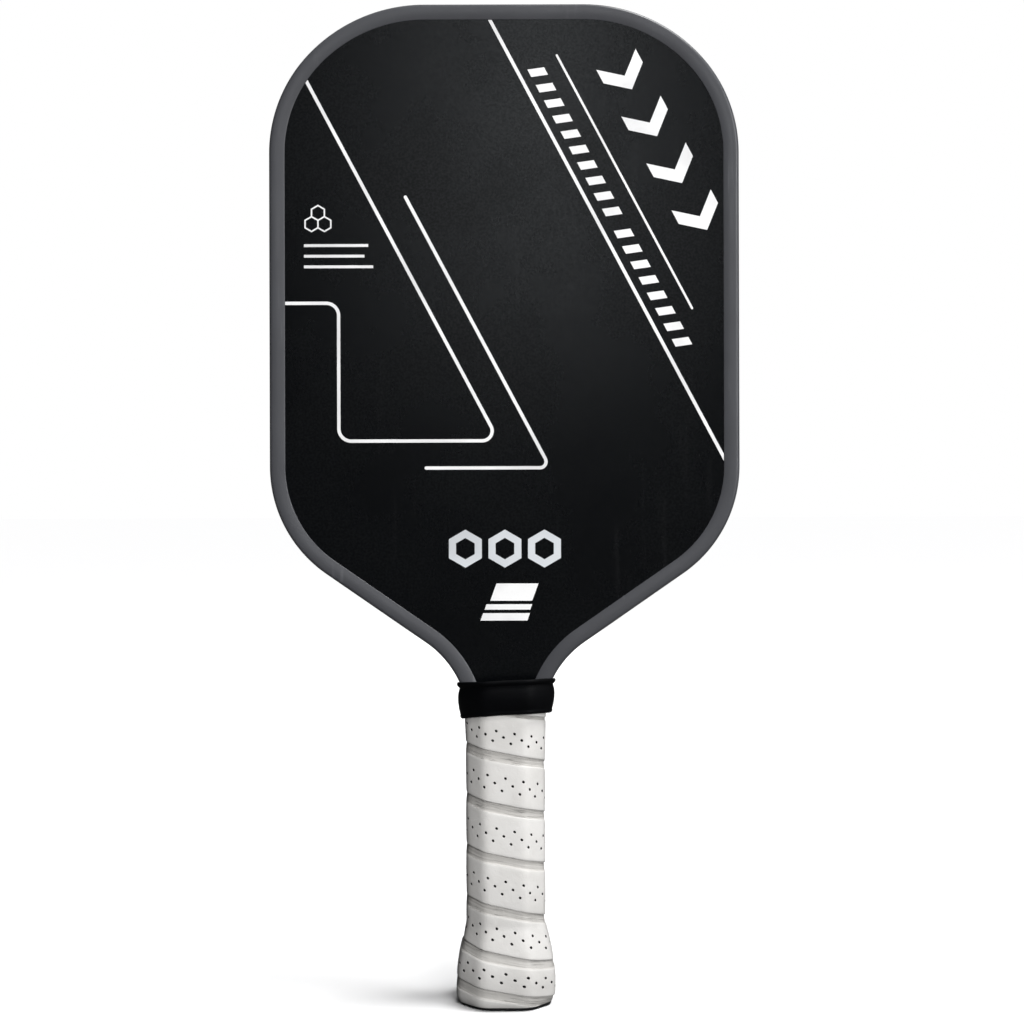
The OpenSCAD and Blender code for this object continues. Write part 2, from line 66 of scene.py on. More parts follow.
@dataclass
class Surface:
    """Faces over shared points, with an optional coordinate pair for each face corner."""

    points: Points
    quads: Points
    triangles: Points = field(default_factory=lambda: np.zeros((0, 3), np.int64))
    quad_uvs: Optional[Points] = None
    triangle_uvs: Optional[Points] = None

    @staticmethod
    def over_grid(points: Points, wrap_rows: bool = False, wrap_columns: bool = False) -> "Surface":
        """Covers a grid of points with quads.

        Quad (i, j) joins grid places (i, j), (i, j + 1), (i + 1, j + 1) and (i + 1, j).

        Args:
            points: Grid of places, rows by columns by 3.
            wrap_rows: Joins the last row to the first.
            wrap_columns: Joins the last column to the first.

        Returns:
            The covered grid.
        """
        rows, columns = points.shape[:2]
        index = np.arange(rows * columns).reshape(rows, columns)
        if wrap_rows:
            index = np.vstack([index, index[:1]])
        if wrap_columns:
            index = np.hstack([index, index[:, :1]])
        corners = (index[:-1, :-1], index[:-1, 1:], index[1:, 1:], index[1:, :-1])
        quads = np.stack([c.ravel() for c in corners], axis=1)
        return Surface(points.reshape(-1, 3), quads)

    def with_poles(self, columns: int) -> "Surface":
        """Closes the first and last rows of a grid onto their centres.

        Each end row gets one triangle per column to a point at the row's mean.

        Args:
            columns: Number of points in a row.

        Returns:
            The closed surface.
        """
        count = len(self.points)
        first, last = np.arange(columns), np.arange(count - columns, count)
        poles = np.stack([self.points[first].mean(axis=0), self.points[last].mean(axis=0)])
        fans = np.concatenate([
            np.stack([np.roll(first, -1), first, np.full(columns, count)], axis=1),
            np.stack([last, np.roll(last, -1), np.full(columns, count + 1)], axis=1),
        ])
        return Surface(np.vstack([self.points, poles]), self.quads, fans)

    def welded(self) -> "Surface":
        """Merges points that coincide and turns the quads that this pinches into triangles.

        Points fall together when they round to the same whole number of WELD_MM. A quad with
        one repeated corner keeps its other three, and one with more is dropped.

        Returns:
            The welded surface.
        """
        keys = np.round(self.points / WELD_MM).astype(np.int64)
        _, first, inverse = np.unique(keys, axis=0, return_index=True, return_inverse=True)
        quads = inverse.reshape(-1)[self.quads]
        repeats = quads == np.roll(quads, -1, axis=1)
        whole, pinched = repeats.sum(axis=1) == 0, repeats.sum(axis=1) == 1
        kept = (repeats[pinched].argmax(axis=1)[:, None] + 1 + np.arange(3)) % 4
        triangles = np.take_along_axis(quads[pinched], kept, axis=1)
        surface = Surface(self.points[first], quads[whole], triangles)
        if self.quad_uvs is not None:
            surface.quad_uvs = self.quad_uvs[whole]
            surface.triangle_uvs = np.take_along_axis(self.quad_uvs[pinched], kept[:, :, None], axis=1)
        return surface

    def thickened(self, inner: Points, wall_uv: tuple[float, float] = (0.0, 0.0)) -> "Surface":
        """Gives a sheet its thickness: the same faces turned over on inner, and walls between.

        An edge that only one face uses is open, and gets a wall from the sheet to inner.

        Args:
            inner: For each of the sheet's points, the place under it.
            wall_uv: Coordinate pair that the walls' corners get.

        Returns:
            The closed surface.
        """
        count = len(self.points)
        edges = np.concatenate([
            np.stack([f.ravel(), np.roll(f, -1, axis=1).ravel()], axis=1)
            for f in (self.quads, self.triangles)
        ])
        forward, backward = edges @ [count, 1], edges @ [1, count]
        a, b = edges[~np.isin(forward, backward)].T
        walls = np.stack([b, a, a + count, b + count], axis=1)
        quads = np.concatenate([self.quads, self.quads[:, ::-1] + count, walls])
        triangles = np.concatenate([self.triangles, self.triangles[:, ::-1] + count])
        thick = Surface(np.vstack([self.points, inner]), quads, triangles)
        if self.quad_uvs is not None:
            plain = np.broadcast_to(wall_uv, (len(walls), 4, 2))
            thick.quad_uvs = np.concatenate([self.quad_uvs, self.quad_uvs[:, ::-1], plain])
            thick.triangle_uvs = np.concatenate([self.triangle_uvs, self.triangle_uvs[:, ::-1]])
        return thick

    def to_object(self, name: str, sharp_degrees: float = 180.0) -> bpy.types.Object:
        """Makes a Blender object at the origin, with its place in its mesh.

        Args:
            name: Name of the piece.
            sharp_degrees: Edges that turn by more than this stay sharp.

        Returns:
            The new object, linked to the scene.
        """
        used, index = np.unique(
            np.concatenate([self.quads.ravel(), self.triangles.ravel()]), return_inverse=True
        )
        sizes = np.concatenate([np.full(len(self.quads), 4), np.full(len(self.triangles), 3)])
        mesh = bpy.data.meshes.new(name)
        mesh.vertices.add(len(used))
        mesh.vertices.foreach_set("co", (self.points[used] * MM).astype(np.float32).ravel())
        mesh.loops.add(int(sizes.sum()))
        mesh.loops.foreach_set("vertex_index", index.reshape(-1).astype(np.int32))
        mesh.polygons.add(len(sizes))
        starts = np.concatenate([[0], np.cumsum(sizes)[:-1]])
        mesh.polygons.foreach_set("loop_start", starts.astype(np.int32))
        if self.quad_uvs is not None:
            uvs = np.concatenate([self.quad_uvs.reshape(-1, 2), self.triangle_uvs.reshape(-1, 2)])
            mesh.uv_layers.new(name="strip").data.foreach_set("uv", uvs.astype(np.float32).ravel())
        mesh.update(calc_edges=True)
        mesh.validate()
        mesh.polygons.foreach_set("use_smooth", np.ones(len(mesh.polygons), bool))
        if sharp_degrees < 180:
            mesh.set_sharp_from_angle(angle=math.radians(sharp_degrees))
        piece = bpy.data.objects.new(name, mesh)
        bpy.context.scene.collection.objects.link(piece)
        return piece


def smooth_loop(places: Sequence[Sequence[float]], steps: int) -> Points:
    """Runs a closed Catmull-Rom curve through places.

    Between two places the curve is the cubic whose slope at each place is half the way from
    the place before to the place after.

    Args:
        places: Places that the curve passes through.
        steps: Number of points from one place to the next.

    Returns:
        The curve's points, one row each.
    """
    p = np.asarray(places, float)
    before, after, beyond = np.roll(p, 1, axis=0), np.roll(p, -1, axis=0), np.roll(p, -2, axis=0)
    t = (np.arange(steps) / steps)[None, :, None]
    a, b, c, d = (q[:, None, :] for q in (before, p, after, beyond))
    curve = 0.5 * (2 * b + (c - a) * t + (2 * a - 5 * b + 4 * c - d) * t**2
                   + (3 * b - a - 3 * c + d) * t**3)
    return curve.reshape(-1, p.shape[1])


def soft_ramp(value: Points, width: float) -> Points:
    """Zero below zero and value above it, with its corner rounded over width.

    The result is width times log(1 + e to the power value over width).

    Args:
        value: Numbers to ramp.
        width: Distance that the corner is rounded over.

    Returns:
        The ramped numbers.
    """
    return width * np.logaddexp(0.0, np.asarray(value, float) / width)


def ripple(phase: Points, *waves: float) -> Points:
    """Mean of sines of phase, each shifted by its own number of waves.

    Args:
        phase: Angles in radians.
        *waves: Number of waves of each sine in a full turn.

    Returns:
        The mean, from -1 to 1.
    """
    return sum(np.sin(phase * w + w) for w in waves) / len(waves)


def polar(reach: Points, bearing: Points, height: Points) -> Points:
    """Places at a distance from the axis, a bearing and a height.

    Args:
        reach: Distances from the axis.
        bearing: Angles about +Z from +X, in radians.
        height: Heights.

    Returns:
        The places, with a last axis of 3.
    """
    parts = np.broadcast_arrays(reach * np.cos(bearing), reach * np.sin(bearing), height)
    return np.stack(parts, axis=-1)


# ---- Shader nodes ------------------------------------------------------------------------


class NodeSheet:
    """A node tree that is filled in from left to right."""

    def __init__(self, tree: bpy.types.NodeTree) -> None:
        """Starts on an empty tree."""
        self.tree = tree
        tree.nodes.clear()

    @staticmethod
    def on_new_material(name: str) -> tuple[bpy.types.Material, "NodeSheet"]:
        """Makes a material and its empty sheet."""
        material = bpy.data.materials.new(name)
        material.use_nodes = True
        return material, NodeSheet(material.node_tree)

    def add(self, kind: str, settings: Optional[dict] = None, **inputs: object) -> bpy.types.Node:
        """Adds a node.

        Args:
            kind: Node type without its ShaderNode prefix, or the name of a node group.
            settings: Properties of the node.
            **inputs: Value or socket for each input, by name, with _ for a space.

        Returns:
            The node.
        """
        group = bpy.data.node_groups.get(kind)
        node = self.tree.nodes.new("ShaderNodeGroup" if group else "ShaderNode" + kind)
        if group:
            node.node_tree = group
        for key, value in (settings or {}).items():
            setattr(node, key, value)
        self.fill(node, **inputs)
        return node

    def fill(self, node: bpy.types.Node, **inputs: object) -> None:
        """Feeds a node's inputs.

        Args:
            node: Node to feed.
            **inputs: Value or socket for each input, by name, with _ for a space.
        """
        for key, value in inputs.items():
            name = key.replace("_", " ")
            self.feed(next(s for s in node.inputs if s.name == name and s.enabled), value)

    def feed(self, socket: bpy.types.NodeSocket, value: object) -> None:
        """Links a socket to value, or sets it to value.

        Args:
            socket: Input to fill.
            value: Another node's output, or a plain value.
        """
        if isinstance(value, bpy.types.NodeSocket):
            self.tree.links.new(value, socket)
        else:
            socket.default_value = value

    def mix(self, factor: object, a: object, b: object) -> bpy.types.NodeSocket:
        """Mixes two colours.

        Args:
            factor: Share of the second colour.
            a: First colour or socket.
            b: Second colour or socket.

        Returns:
            The mixed colour.
        """
        node = self.add("Mix", {"data_type": "RGBA"}, Factor=factor)
        colours = [s for s in node.inputs if s.type == "RGBA"]
        self.feed(colours[0], a)
        self.feed(colours[1], b)
        return next(s for s in node.outputs if s.type == "RGBA")

    def sums(self, operation: str, *values: object) -> bpy.types.NodeSocket:
        """Adds a Math node.

        Args:
            operation: Name of the node's operation.
            *values: Values or sockets, in the node's order.

        Returns:
            The result.
        """
        node = self.add("Math", {"operation": operation})
        for socket, value in zip(node.inputs, values):
            self.feed(socket, value)
        return node.outputs[0]

    def ramp(self, value: object, low: float, high: float, to_low: float = 0.0, to_high: float = 1.0
             ) -> bpy.types.NodeSocket:
        """Adds a smooth step.

        Args:
            value: Value or socket to map.
            low: Value that gives to_low.
            high: Value that gives to_high.
            to_low: Result at and below low.
            to_high: Result at and above high.

        Returns:
            The mapped value.
        """
        return self.add(
            "MapRange", {"interpolation_type": "SMOOTHSTEP"},
            Value=value, From_Min=low, From_Max=high, To_Min=to_low, To_Max=to_high,
        ).outputs[0]

    def noise(self, place: object, scale: float, detail: float = 4.0, roughness: float = 0.55
              ) -> bpy.types.NodeSocket:
        """Adds a noise texture.

        Args:
            place: Coordinates.
            scale: Waves per unit of the coordinates.
            detail: Number of finer layers.
            roughness: Share that each finer layer adds.

        Returns:
            The noise value.
        """
        return self.add(
            "TexNoise", Vector=place, Scale=scale, Detail=detail, Roughness=roughness
        ).outputs[0]


class GroupName(Enum):
    """Node groups that several finishes share."""

    MOTTLE = "mottle"
    GRAIN = "grain"
    SCUFFS = "scuffs"


class EffectGroups:
    """Builds the node groups for effects that more than one finish uses."""

    @staticmethod
    def start(name: GroupName, inputs: dict, output: str, output_kind: str
              ) -> tuple[NodeSheet, dict[str, bpy.types.NodeSocket], bpy.types.NodeSocket]:
        """Makes a group with its sockets.

        Args:
            name: Which group.
            inputs: For each input its kind of socket and its value.
            output: Name of the output.
            output_kind: Kind of socket of the output.

        Returns:
            The group's sheet, what it is given by name, and the socket for its result.
        """
        tree = bpy.data.node_groups.new(name.value, "ShaderNodeTree")
        for label, (kind, value) in inputs.items():
            socket = tree.interface.new_socket(label, in_out="INPUT", socket_type="NodeSocket" + kind)
            if value is not None:
                socket.default_value = value
        tree.interface.new_socket(output, in_out="OUTPUT", socket_type="NodeSocket" + output_kind)
        sheet = NodeSheet(tree)
        given, result = tree.nodes.new("NodeGroupInput"), tree.nodes.new("NodeGroupOutput")
        return sheet, {s.name: s for s in given.outputs if s.name}, result.inputs[0]

    def mottle(self) -> None:
        """Colour that drifts between two tones in soft clouds of two sizes."""
        sheet, given, result = self.start(
            GroupName.MOTTLE,
            {"Place": ("Vector", None), "Light": ("Color", None), "Dark": ("Color", None),
             "Scale": ("Float", 40.0), "Amount": ("Float", 0.5)},
            "Colour", "Color",
        )
        clouds = sheet.add("TexNoise", Vector=given["Place"], Scale=given["Scale"], Detail=5.0)
        share = sheet.sums("MULTIPLY", sheet.ramp(clouds.outputs[0], 0.3, 0.7), given["Amount"])
        sheet.feed(result, sheet.mix(share, given["Light"], given["Dark"]))

    def grain(self) -> None:
        """Height of a moulded or leathery grain: fine cells over finer noise."""
        sheet, given, result = self.start(
            GroupName.GRAIN,
            {"Place": ("Vector", None), "Scale": ("Float", 2500.0), "Softness": ("Float", 0.5)},
            "Height", "Float",
        )
        cells = sheet.add("TexVoronoi", {"feature": "SMOOTH_F1"}, Vector=given["Place"],
                          Scale=given["Scale"], Smoothness=given["Softness"])
        fine = sheet.add("TexNoise", Vector=given["Place"], Detail=3.0,
                         Scale=sheet.sums("MULTIPLY", given["Scale"], 2.3))
        total = sheet.sums("ADD", cells.outputs["Distance"], sheet.sums("MULTIPLY", fine.outputs[0], 0.4))
        sheet.feed(result, total)

    def scuffs(self) -> None:
        """Mask of short fine scratches: noise stretched along Z and cut to its peaks."""
        sheet, given, result = self.start(
            GroupName.SCUFFS,
            {"Place": ("Vector", None), "Scale": ("Float", 300.0), "Amount": ("Float", 0.5)},
            "Mask", "Float",
        )
        stretched = sheet.add(
            "Mapping", Vector=given["Place"], Rotation=(0.3, 0.5, 0.2), Scale=(1.0, 1.0, 0.06))
        lines = sheet.add("TexNoise", Vector=stretched.outputs[0], Scale=given["Scale"], Detail=2.0)
        patches = sheet.noise(given["Place"], 30.0)
        sharp = sheet.ramp(lines.outputs[0], 0.62, 0.72)
        share = sheet.sums("MULTIPLY", sharp, sheet.ramp(patches, 0.45, 0.65))
        sheet.feed(result, sheet.sums("MULTIPLY", share, given["Amount"]))

    def build(self) -> None:
        """Builds every group once."""
        self.mottle()
        self.grain()
        self.scuffs()


Colour = tuple[float, float, float]


def dimmed(colour: Colour, share: float) -> tuple[float, ...]:
    """Opaque colour with this share of each of its parts."""
    return (*(share * part for part in colour), 1.0)


@dataclass(frozen=True)
class Finish:
    """A plain moulded finish, and the base of the others: a mottled colour over a fine grain."""

    name: str
    slot: str
    light: Colour
    dark: Colour
    roughness: float = 0.5
    cloud_scale: float = 40.0
    cloud_amount: float = 0.6
    grain_scale: float = 2500.0
    grain_mm: float = 0.01
    scuff_amount: float = 0.0
    specular: float = 0.5
    metallic: float = 0.0

    def material(self) -> bpy.types.Material:
        """Makes the material.

        Returns:
            The material, with its nodes.
        """
        material, sheet = NodeSheet.on_new_material(self.name)
        shader = sheet.add("BsdfPrincipled", Specular_IOR_Level=self.specular, Metallic=self.metallic)
        place = sheet.add("TexCoord").outputs["Object"]
        self.dress(sheet, shader, place)
        sheet.add("OutputMaterial", Surface=shader.outputs[0])
        return material

    def tones(self, sheet: NodeSheet, place: bpy.types.NodeSocket) -> bpy.types.NodeSocket:
        """Mottles the finish's two tones.

        Args:
            sheet: Node sheet of the material.
            place: Coordinates.

        Returns:
            The colour.
        """
        return sheet.add(
            GroupName.MOTTLE.value, Place=place, Light=(*self.light, 1.0), Dark=(*self.dark, 1.0),
            Scale=self.cloud_scale, Amount=self.cloud_amount,
        ).outputs[0]

    def bump(self, sheet: NodeSheet, height: object, millimetres: float, under: object = None
             ) -> bpy.types.NodeSocket:
        """Raises the surface by height times millimetres.

        Args:
            sheet: Node sheet of the material.
            height: Value or socket from 0 to 1.
            millimetres: Height of the value 1.
            under: Normal of a coarser relief below, if any.

        Returns:
            The normal.
        """
        node = sheet.add("Bump", Height=height, Strength=1.0, Distance=millimetres * MM)
        if under is not None:
            sheet.feed(node.inputs["Normal"], under)
        return node.outputs[0]

    def scuffs(self, sheet: NodeSheet, place: bpy.types.NodeSocket, scale: float) -> bpy.types.NodeSocket:
        """Masks the finish's scratches.

        Args:
            sheet: Node sheet of the material.
            place: Coordinates.
            scale: Scale of the scratches' noise.

        Returns:
            The mask.
        """
        return sheet.add(
            GroupName.SCUFFS.value, Place=place, Scale=scale, Amount=self.scuff_amount
        ).outputs[0]

    def grain(self, sheet: NodeSheet, place: bpy.types.NodeSocket, softness: float) -> bpy.types.NodeSocket:
        """Raises the finish's grain.

        Args:
            sheet: Node sheet of the material.
            place: Coordinates.
            softness: How far the grain's cells melt together.

        Returns:
            The normal.
        """
        height = sheet.add(
            GroupName.GRAIN.value, Place=place, Scale=self.grain_scale, Softness=softness
        ).outputs[0]
        return self.bump(sheet, height, self.grain_mm)

    def uneven(self, sheet: NodeSheet, place: bpy.types.NodeSocket, scale: float, spread: float
               ) -> bpy.types.NodeSocket:
        """Lets the roughness drift.

        Args:
            sheet: Node sheet of the material.
            place: Coordinates.
            scale: Scale of the drift's noise.
            spread: How far it drifts either way.

        Returns:
            The roughness.
        """
        low, high = self.roughness - spread, self.roughness + spread
        return sheet.ramp(sheet.noise(place, scale), 0.3, 0.7, low, high)

    def dress(self, sheet: NodeSheet, shader: bpy.types.Node, place: bpy.types.NodeSocket) -> None:
        """Feeds the shader with mottled colour, uneven roughness, scuffs and grain.

        Args:
            sheet: Node sheet of the material.
            shader: Principled shader to feed.
            place: Coordinates on the object.
        """
        scuffs = self.scuffs(sheet, place, 400.0)
        pale = (*(min(1.0, 0.05 + 1.6 * c) for c in self.light), 1.0)
        duller = sheet.sums("MULTIPLY", scuffs, 0.15)
        sheet.fill(
            shader,
            Base_Color=sheet.mix(scuffs, self.tones(sheet, place), pale),
            Roughness=sheet.sums("ADD", self.uneven(sheet, place, 90.0, 0.05), duller),
            Normal=self.grain(sheet, place, 0.6),
        )


@dataclass(frozen=True)
class CarbonSkin(Finish):
    """Raw carbon from a peel-ply mould: a faint crossed weave that catches the light unevenly."""

    weave_mm: float = 0.9
    weave_depth_mm: float = 0.006
    sheen: Colour = (0.93, 0.97, 1.0)
    scratch: Colour = (0.05, 0.05, 0.052)

    def dress(self, sheet: NodeSheet, shader: bpy.types.Node, place: bpy.types.NodeSocket) -> None:
        """Feeds the shader with the weave's colour, gloss and relief."""
        axes = sheet.add("SeparateXYZ", Vector=place)
        turns = 2 * math.pi / (self.weave_mm * MM)
        across = sheet.sums("SINE", sheet.sums("MULTIPLY", axes.outputs["X"], turns))
        along = sheet.sums("SINE", sheet.sums("MULTIPLY", axes.outputs["Z"], turns))
        weave = sheet.sums("MULTIPLY_ADD", sheet.sums("MULTIPLY", across, along), 0.5, 0.5)
        fibres = sheet.add("Mapping", Vector=place, Scale=(1.0, 1.0, 0.6))
        streaks = sheet.noise(fibres.outputs[0], 900.0, 3.0)
        tone = sheet.sums("MULTIPLY_ADD", weave, 0.25, sheet.ramp(streaks, 0.35, 0.65, 0.0, 0.6))
        colour = sheet.mix(tone, self.tones(sheet, place), (*self.light, 1.0))
        specks = sheet.noise(place, 1100.0, 2.0)
        gloss = sheet.sums("MULTIPLY_ADD", tone, -0.02, self.roughness + 0.01)
        clouds = sheet.ramp(sheet.noise(place, 18.0), 0.35, 0.65, -0.03, 0.03)
        grit = self.grain(sheet, place, 0.3)
        sheet.fill(
            shader,
            Base_Color=sheet.mix(self.scuffs(sheet, place, 250.0), colour, (*self.scratch, 1.0)),
            Specular_IOR_Level=sheet.ramp(specks, 0.3, 0.7, self.specular * 0.8, self.specular * 1.2),
            Specular_Tint=(*self.sheen, 1.0),
            Roughness=sheet.sums("ADD", gloss, clouds),
            Normal=self.bump(sheet, weave, self.weave_depth_mm, grit),
        )


@dataclass(frozen=True)
class PrintedInk(Finish):
    """Screen-printed ink over the carbon's texture, thin in specks where the weave stands up."""

    speck_amount: float = 0.25

    def dress(self, sheet: NodeSheet, shader: bpy.types.Node, place: bpy.types.NodeSocket) -> None:
        """Feeds the shader with speckled colour, roughness and a grainy relief."""
        specks = sheet.ramp(sheet.noise(place, 2200.0, 2.0), 0.62, 0.72, 0.0, self.speck_amount)
        sheet.fill(
            shader,
            Base_Color=sheet.mix(specks, self.tones(sheet, place), (*self.dark, 1.0)),
            Roughness=self.uneven(sheet, place, 300.0, 0.06),
            Normal=self.grain(sheet, place, 0.3),
        )


@dataclass(frozen=True)
class GripLeather(Finish):
    """Soft perforated polyurethane: off-white, greyer along the bare margin at each overlap, with painted
    shade and shadow in its colour.
    """

    margin: Colour = (0.60, 0.582, 0.555)
    # Near-black painted shade for the strip's cut walls, the holes' walls among them.
    hole: Colour = (0.004, 0.004, 0.0045)
    # Painted shade towards the butt: its share at and below the first height, fading out by the second, in
    # metres.
    handled_share: float = 0.3
    handled_below: tuple[float, float] = (0.02, 0.062)
    crease_mm: float = 0.04
    margin_mm: float = 0.10
    margin_start_mm: float = 16.8
    margin_end_mm: float = 20.7

    def dress(self, sheet: NodeSheet, shader: bpy.types.Node, place: bpy.types.NodeSocket) -> None:
        """Feeds the shader with pores, creases, the margin's grey, and painted shade and shadow.

        The strip's own coordinates hold millimetres along the strip and up from its free edge,
        and are negative on the holes' walls.
        """
        strip = sheet.add("UVMap", {"uv_map": "strip"}).outputs[0]
        up = sheet.add("SeparateXYZ", Vector=strip).outputs["Y"]
        margin = sheet.ramp(up, self.margin_start_mm - 0.1, self.margin_start_mm + 0.3)
        stretched = sheet.add("Mapping", Vector=strip, Scale=(0.035, 0.9, 1.0))
        flow = sheet.noise(stretched.outputs[0], 1.0, 2.0)
        folds = sheet.sums("ABSOLUTE", sheet.sums("SUBTRACT", flow, 0.5))
        patches = sheet.ramp(sheet.noise(strip, 0.09, 1.0), 0.48, 0.6)
        # Thin dark lines along the folds, in patches on the margin: painted shade in its creases.
        lines = sheet.sums("MULTIPLY", sheet.ramp(folds, 0.0, 0.022, 1.0, 0.0), patches)
        # Painted shadow: the margin darkens towards the turn above, whose free edge lies over it.
        shade = sheet.ramp(up, self.margin_start_mm, self.margin_end_mm, 0.0, 0.75)
        bare = sheet.mix(shade, (*self.margin, 1.0), dimmed(self.margin, 0.6))
        bare = sheet.mix(sheet.sums("MULTIPLY", lines, 0.75), bare, dimmed(self.margin, 0.3))
        # Painted shade along each turn's free edge, where it curls down over the margin below.
        edge = sheet.ramp(up, 0.0, 0.4, 0.5, 0.0)
        worn = sheet.mix(edge, self.tones(sheet, place), dimmed(self.dark, 0.55))
        height = sheet.add("SeparateXYZ", Vector=place).outputs["Z"]
        # Painted shade: the grip's colour darkens towards the butt.
        handled = sheet.ramp(height, *self.handled_below, self.handled_share, 0.0)
        colour = sheet.mix(handled, sheet.mix(margin, worn, bare), dimmed(self.dark, 0.45))
        # Painted shade: near-black on the strip's cut walls, the holes' walls among them.
        inside = sheet.ramp(up, -1.0, -0.5, 1.0, 0.0)
        creases = sheet.ramp(sheet.noise(place, 240.0, 3.0), 0.4, 0.6)
        soft = self.bump(sheet, creases, self.crease_mm, self.grain(sheet, place, 0.8))
        waves = sheet.sums("SUBTRACT", sheet.ramp(flow, 0.35, 0.65), lines)
        sheet.fill(
            shader,
            Base_Color=sheet.mix(inside, colour, (*self.hole, 1.0)),
            Roughness=self.uneven(sheet, place, 150.0, 0.06),
            Normal=self.bump(sheet, sheet.sums("MULTIPLY", waves, margin), self.margin_mm, soft),
        )


class Finishes:
    """Every finish of the paddle, made once and shared."""

    CARBON = CarbonSkin("raw_carbon", "carbon_skin", (0.0011, 0.0014, 0.0019), (0.0003, 0.0004, 0.0006),
                        roughness=0.27, cloud_scale=14.0, grain_scale=4200.0, grain_mm=0.006,
                        scuff_amount=0.05, specular=0.3)
    WHITE = PrintedInk("white_ink", "white_ink", (0.97, 0.97, 0.97), (0.6, 0.6, 0.61), roughness=0.42,
                       grain_mm=0.006)
    SILVER = PrintedInk("silver_ink", "silver_ink", (0.68, 0.71, 0.74), (0.5, 0.52, 0.54), roughness=0.4,
                        grain_mm=0.008)
    GUARD = Finish("guard_plastic", "guard_plastic", (0.066, 0.068, 0.075), (0.054, 0.055, 0.061),
                   roughness=0.36, specular=0.45, grain_scale=3200.0, grain_mm=0.008, scuff_amount=0.35)
    LEATHER = GripLeather("grip_leather", "grip_leather", (0.76, 0.748, 0.73), (0.67, 0.657, 0.634),
                          roughness=0.55, cloud_scale=60.0, cloud_amount=0.8, grain_scale=1900.0,
                          grain_mm=0.02)
    BACKING = Finish("grip_foam", "grip_foam", (0.016, 0.016, 0.017), (0.008, 0.008, 0.009), roughness=0.85,
                     grain_scale=1500.0, grain_mm=0.06)
    RUBBER = Finish("band_rubber", "band_rubber", (0.0016, 0.0018, 0.0023), (0.0010, 0.0011, 0.0014),
                    roughness=0.55, cloud_scale=120.0, grain_scale=2600.0, grain_mm=0.012, specular=0.08)
    TAPE = Finish("finishing_tape", "tape_film", (0.006, 0.006, 0.0065), (0.003, 0.003, 0.0035),
                  roughness=0.3, specular=0.3, grain_scale=700.0, grain_mm=0.012)
    CAP = Finish("cap_plastic", "cap_plastic", (0.011, 0.011, 0.012), (0.007, 0.007, 0.008), roughness=0.42,
                 grain_scale=2800.0, grain_mm=0.012, scuff_amount=0.5)
    STEEL = Finish("staple_wire", "staple_steel", (0.72, 0.72, 0.73), (0.55, 0.55, 0.56), roughness=0.28,
                   metallic=1.0, grain_mm=0.004)
    CORE = Finish("core_polymer", "core_polymer", (0.80, 0.79, 0.74), (0.68, 0.67, 0.61), roughness=0.6,
                  grain_scale=600.0, grain_mm=0.03)
    FILM = Finish("bond_film", "bond_film", (0.58, 0.50, 0.30), (0.44, 0.37, 0.2), roughness=0.35,
                  grain_scale=500.0, grain_mm=0.02)
    FOAM_TAPE = Finish("foam_tape", "foam_tape", (0.72, 0.72, 0.72), (0.6, 0.6, 0.6), roughness=0.8,
                       grain_scale=1400.0, grain_mm=0.05)
    HANDLE = Finish("handle_foam", "handle_foam", (0.007, 0.007, 0.008), (0.004, 0.004, 0.0045),
                    roughness=0.8, specular=0.15, grain_scale=1100.0, grain_mm=0.07)

    def __init__(self) -> None:
        """Starts with no material made."""
        self.made: dict[str, bpy.types.Material] = {}

    def put(self, piece: bpy.types.Object, finish: Finish) -> None:
        """Dresses a piece in a finish and logs its face count and the finish's name.

        Args:
            piece: Piece to dress.
            finish: Its finish.
        """
        if finish.name not in self.made:
            self.made[finish.name] = finish.material()
        piece.data.materials.clear()
        piece.data.materials.append(self.made[finish.name])
        piece.data.polygons.foreach_set("material_index", np.zeros(len(piece.data.polygons), np.int32))
        log.info("%s: %d faces, %s", piece.name, len(piece.data.polygons), finish.name)


# ---- Shapes that several pieces share ------------------------------------------------------


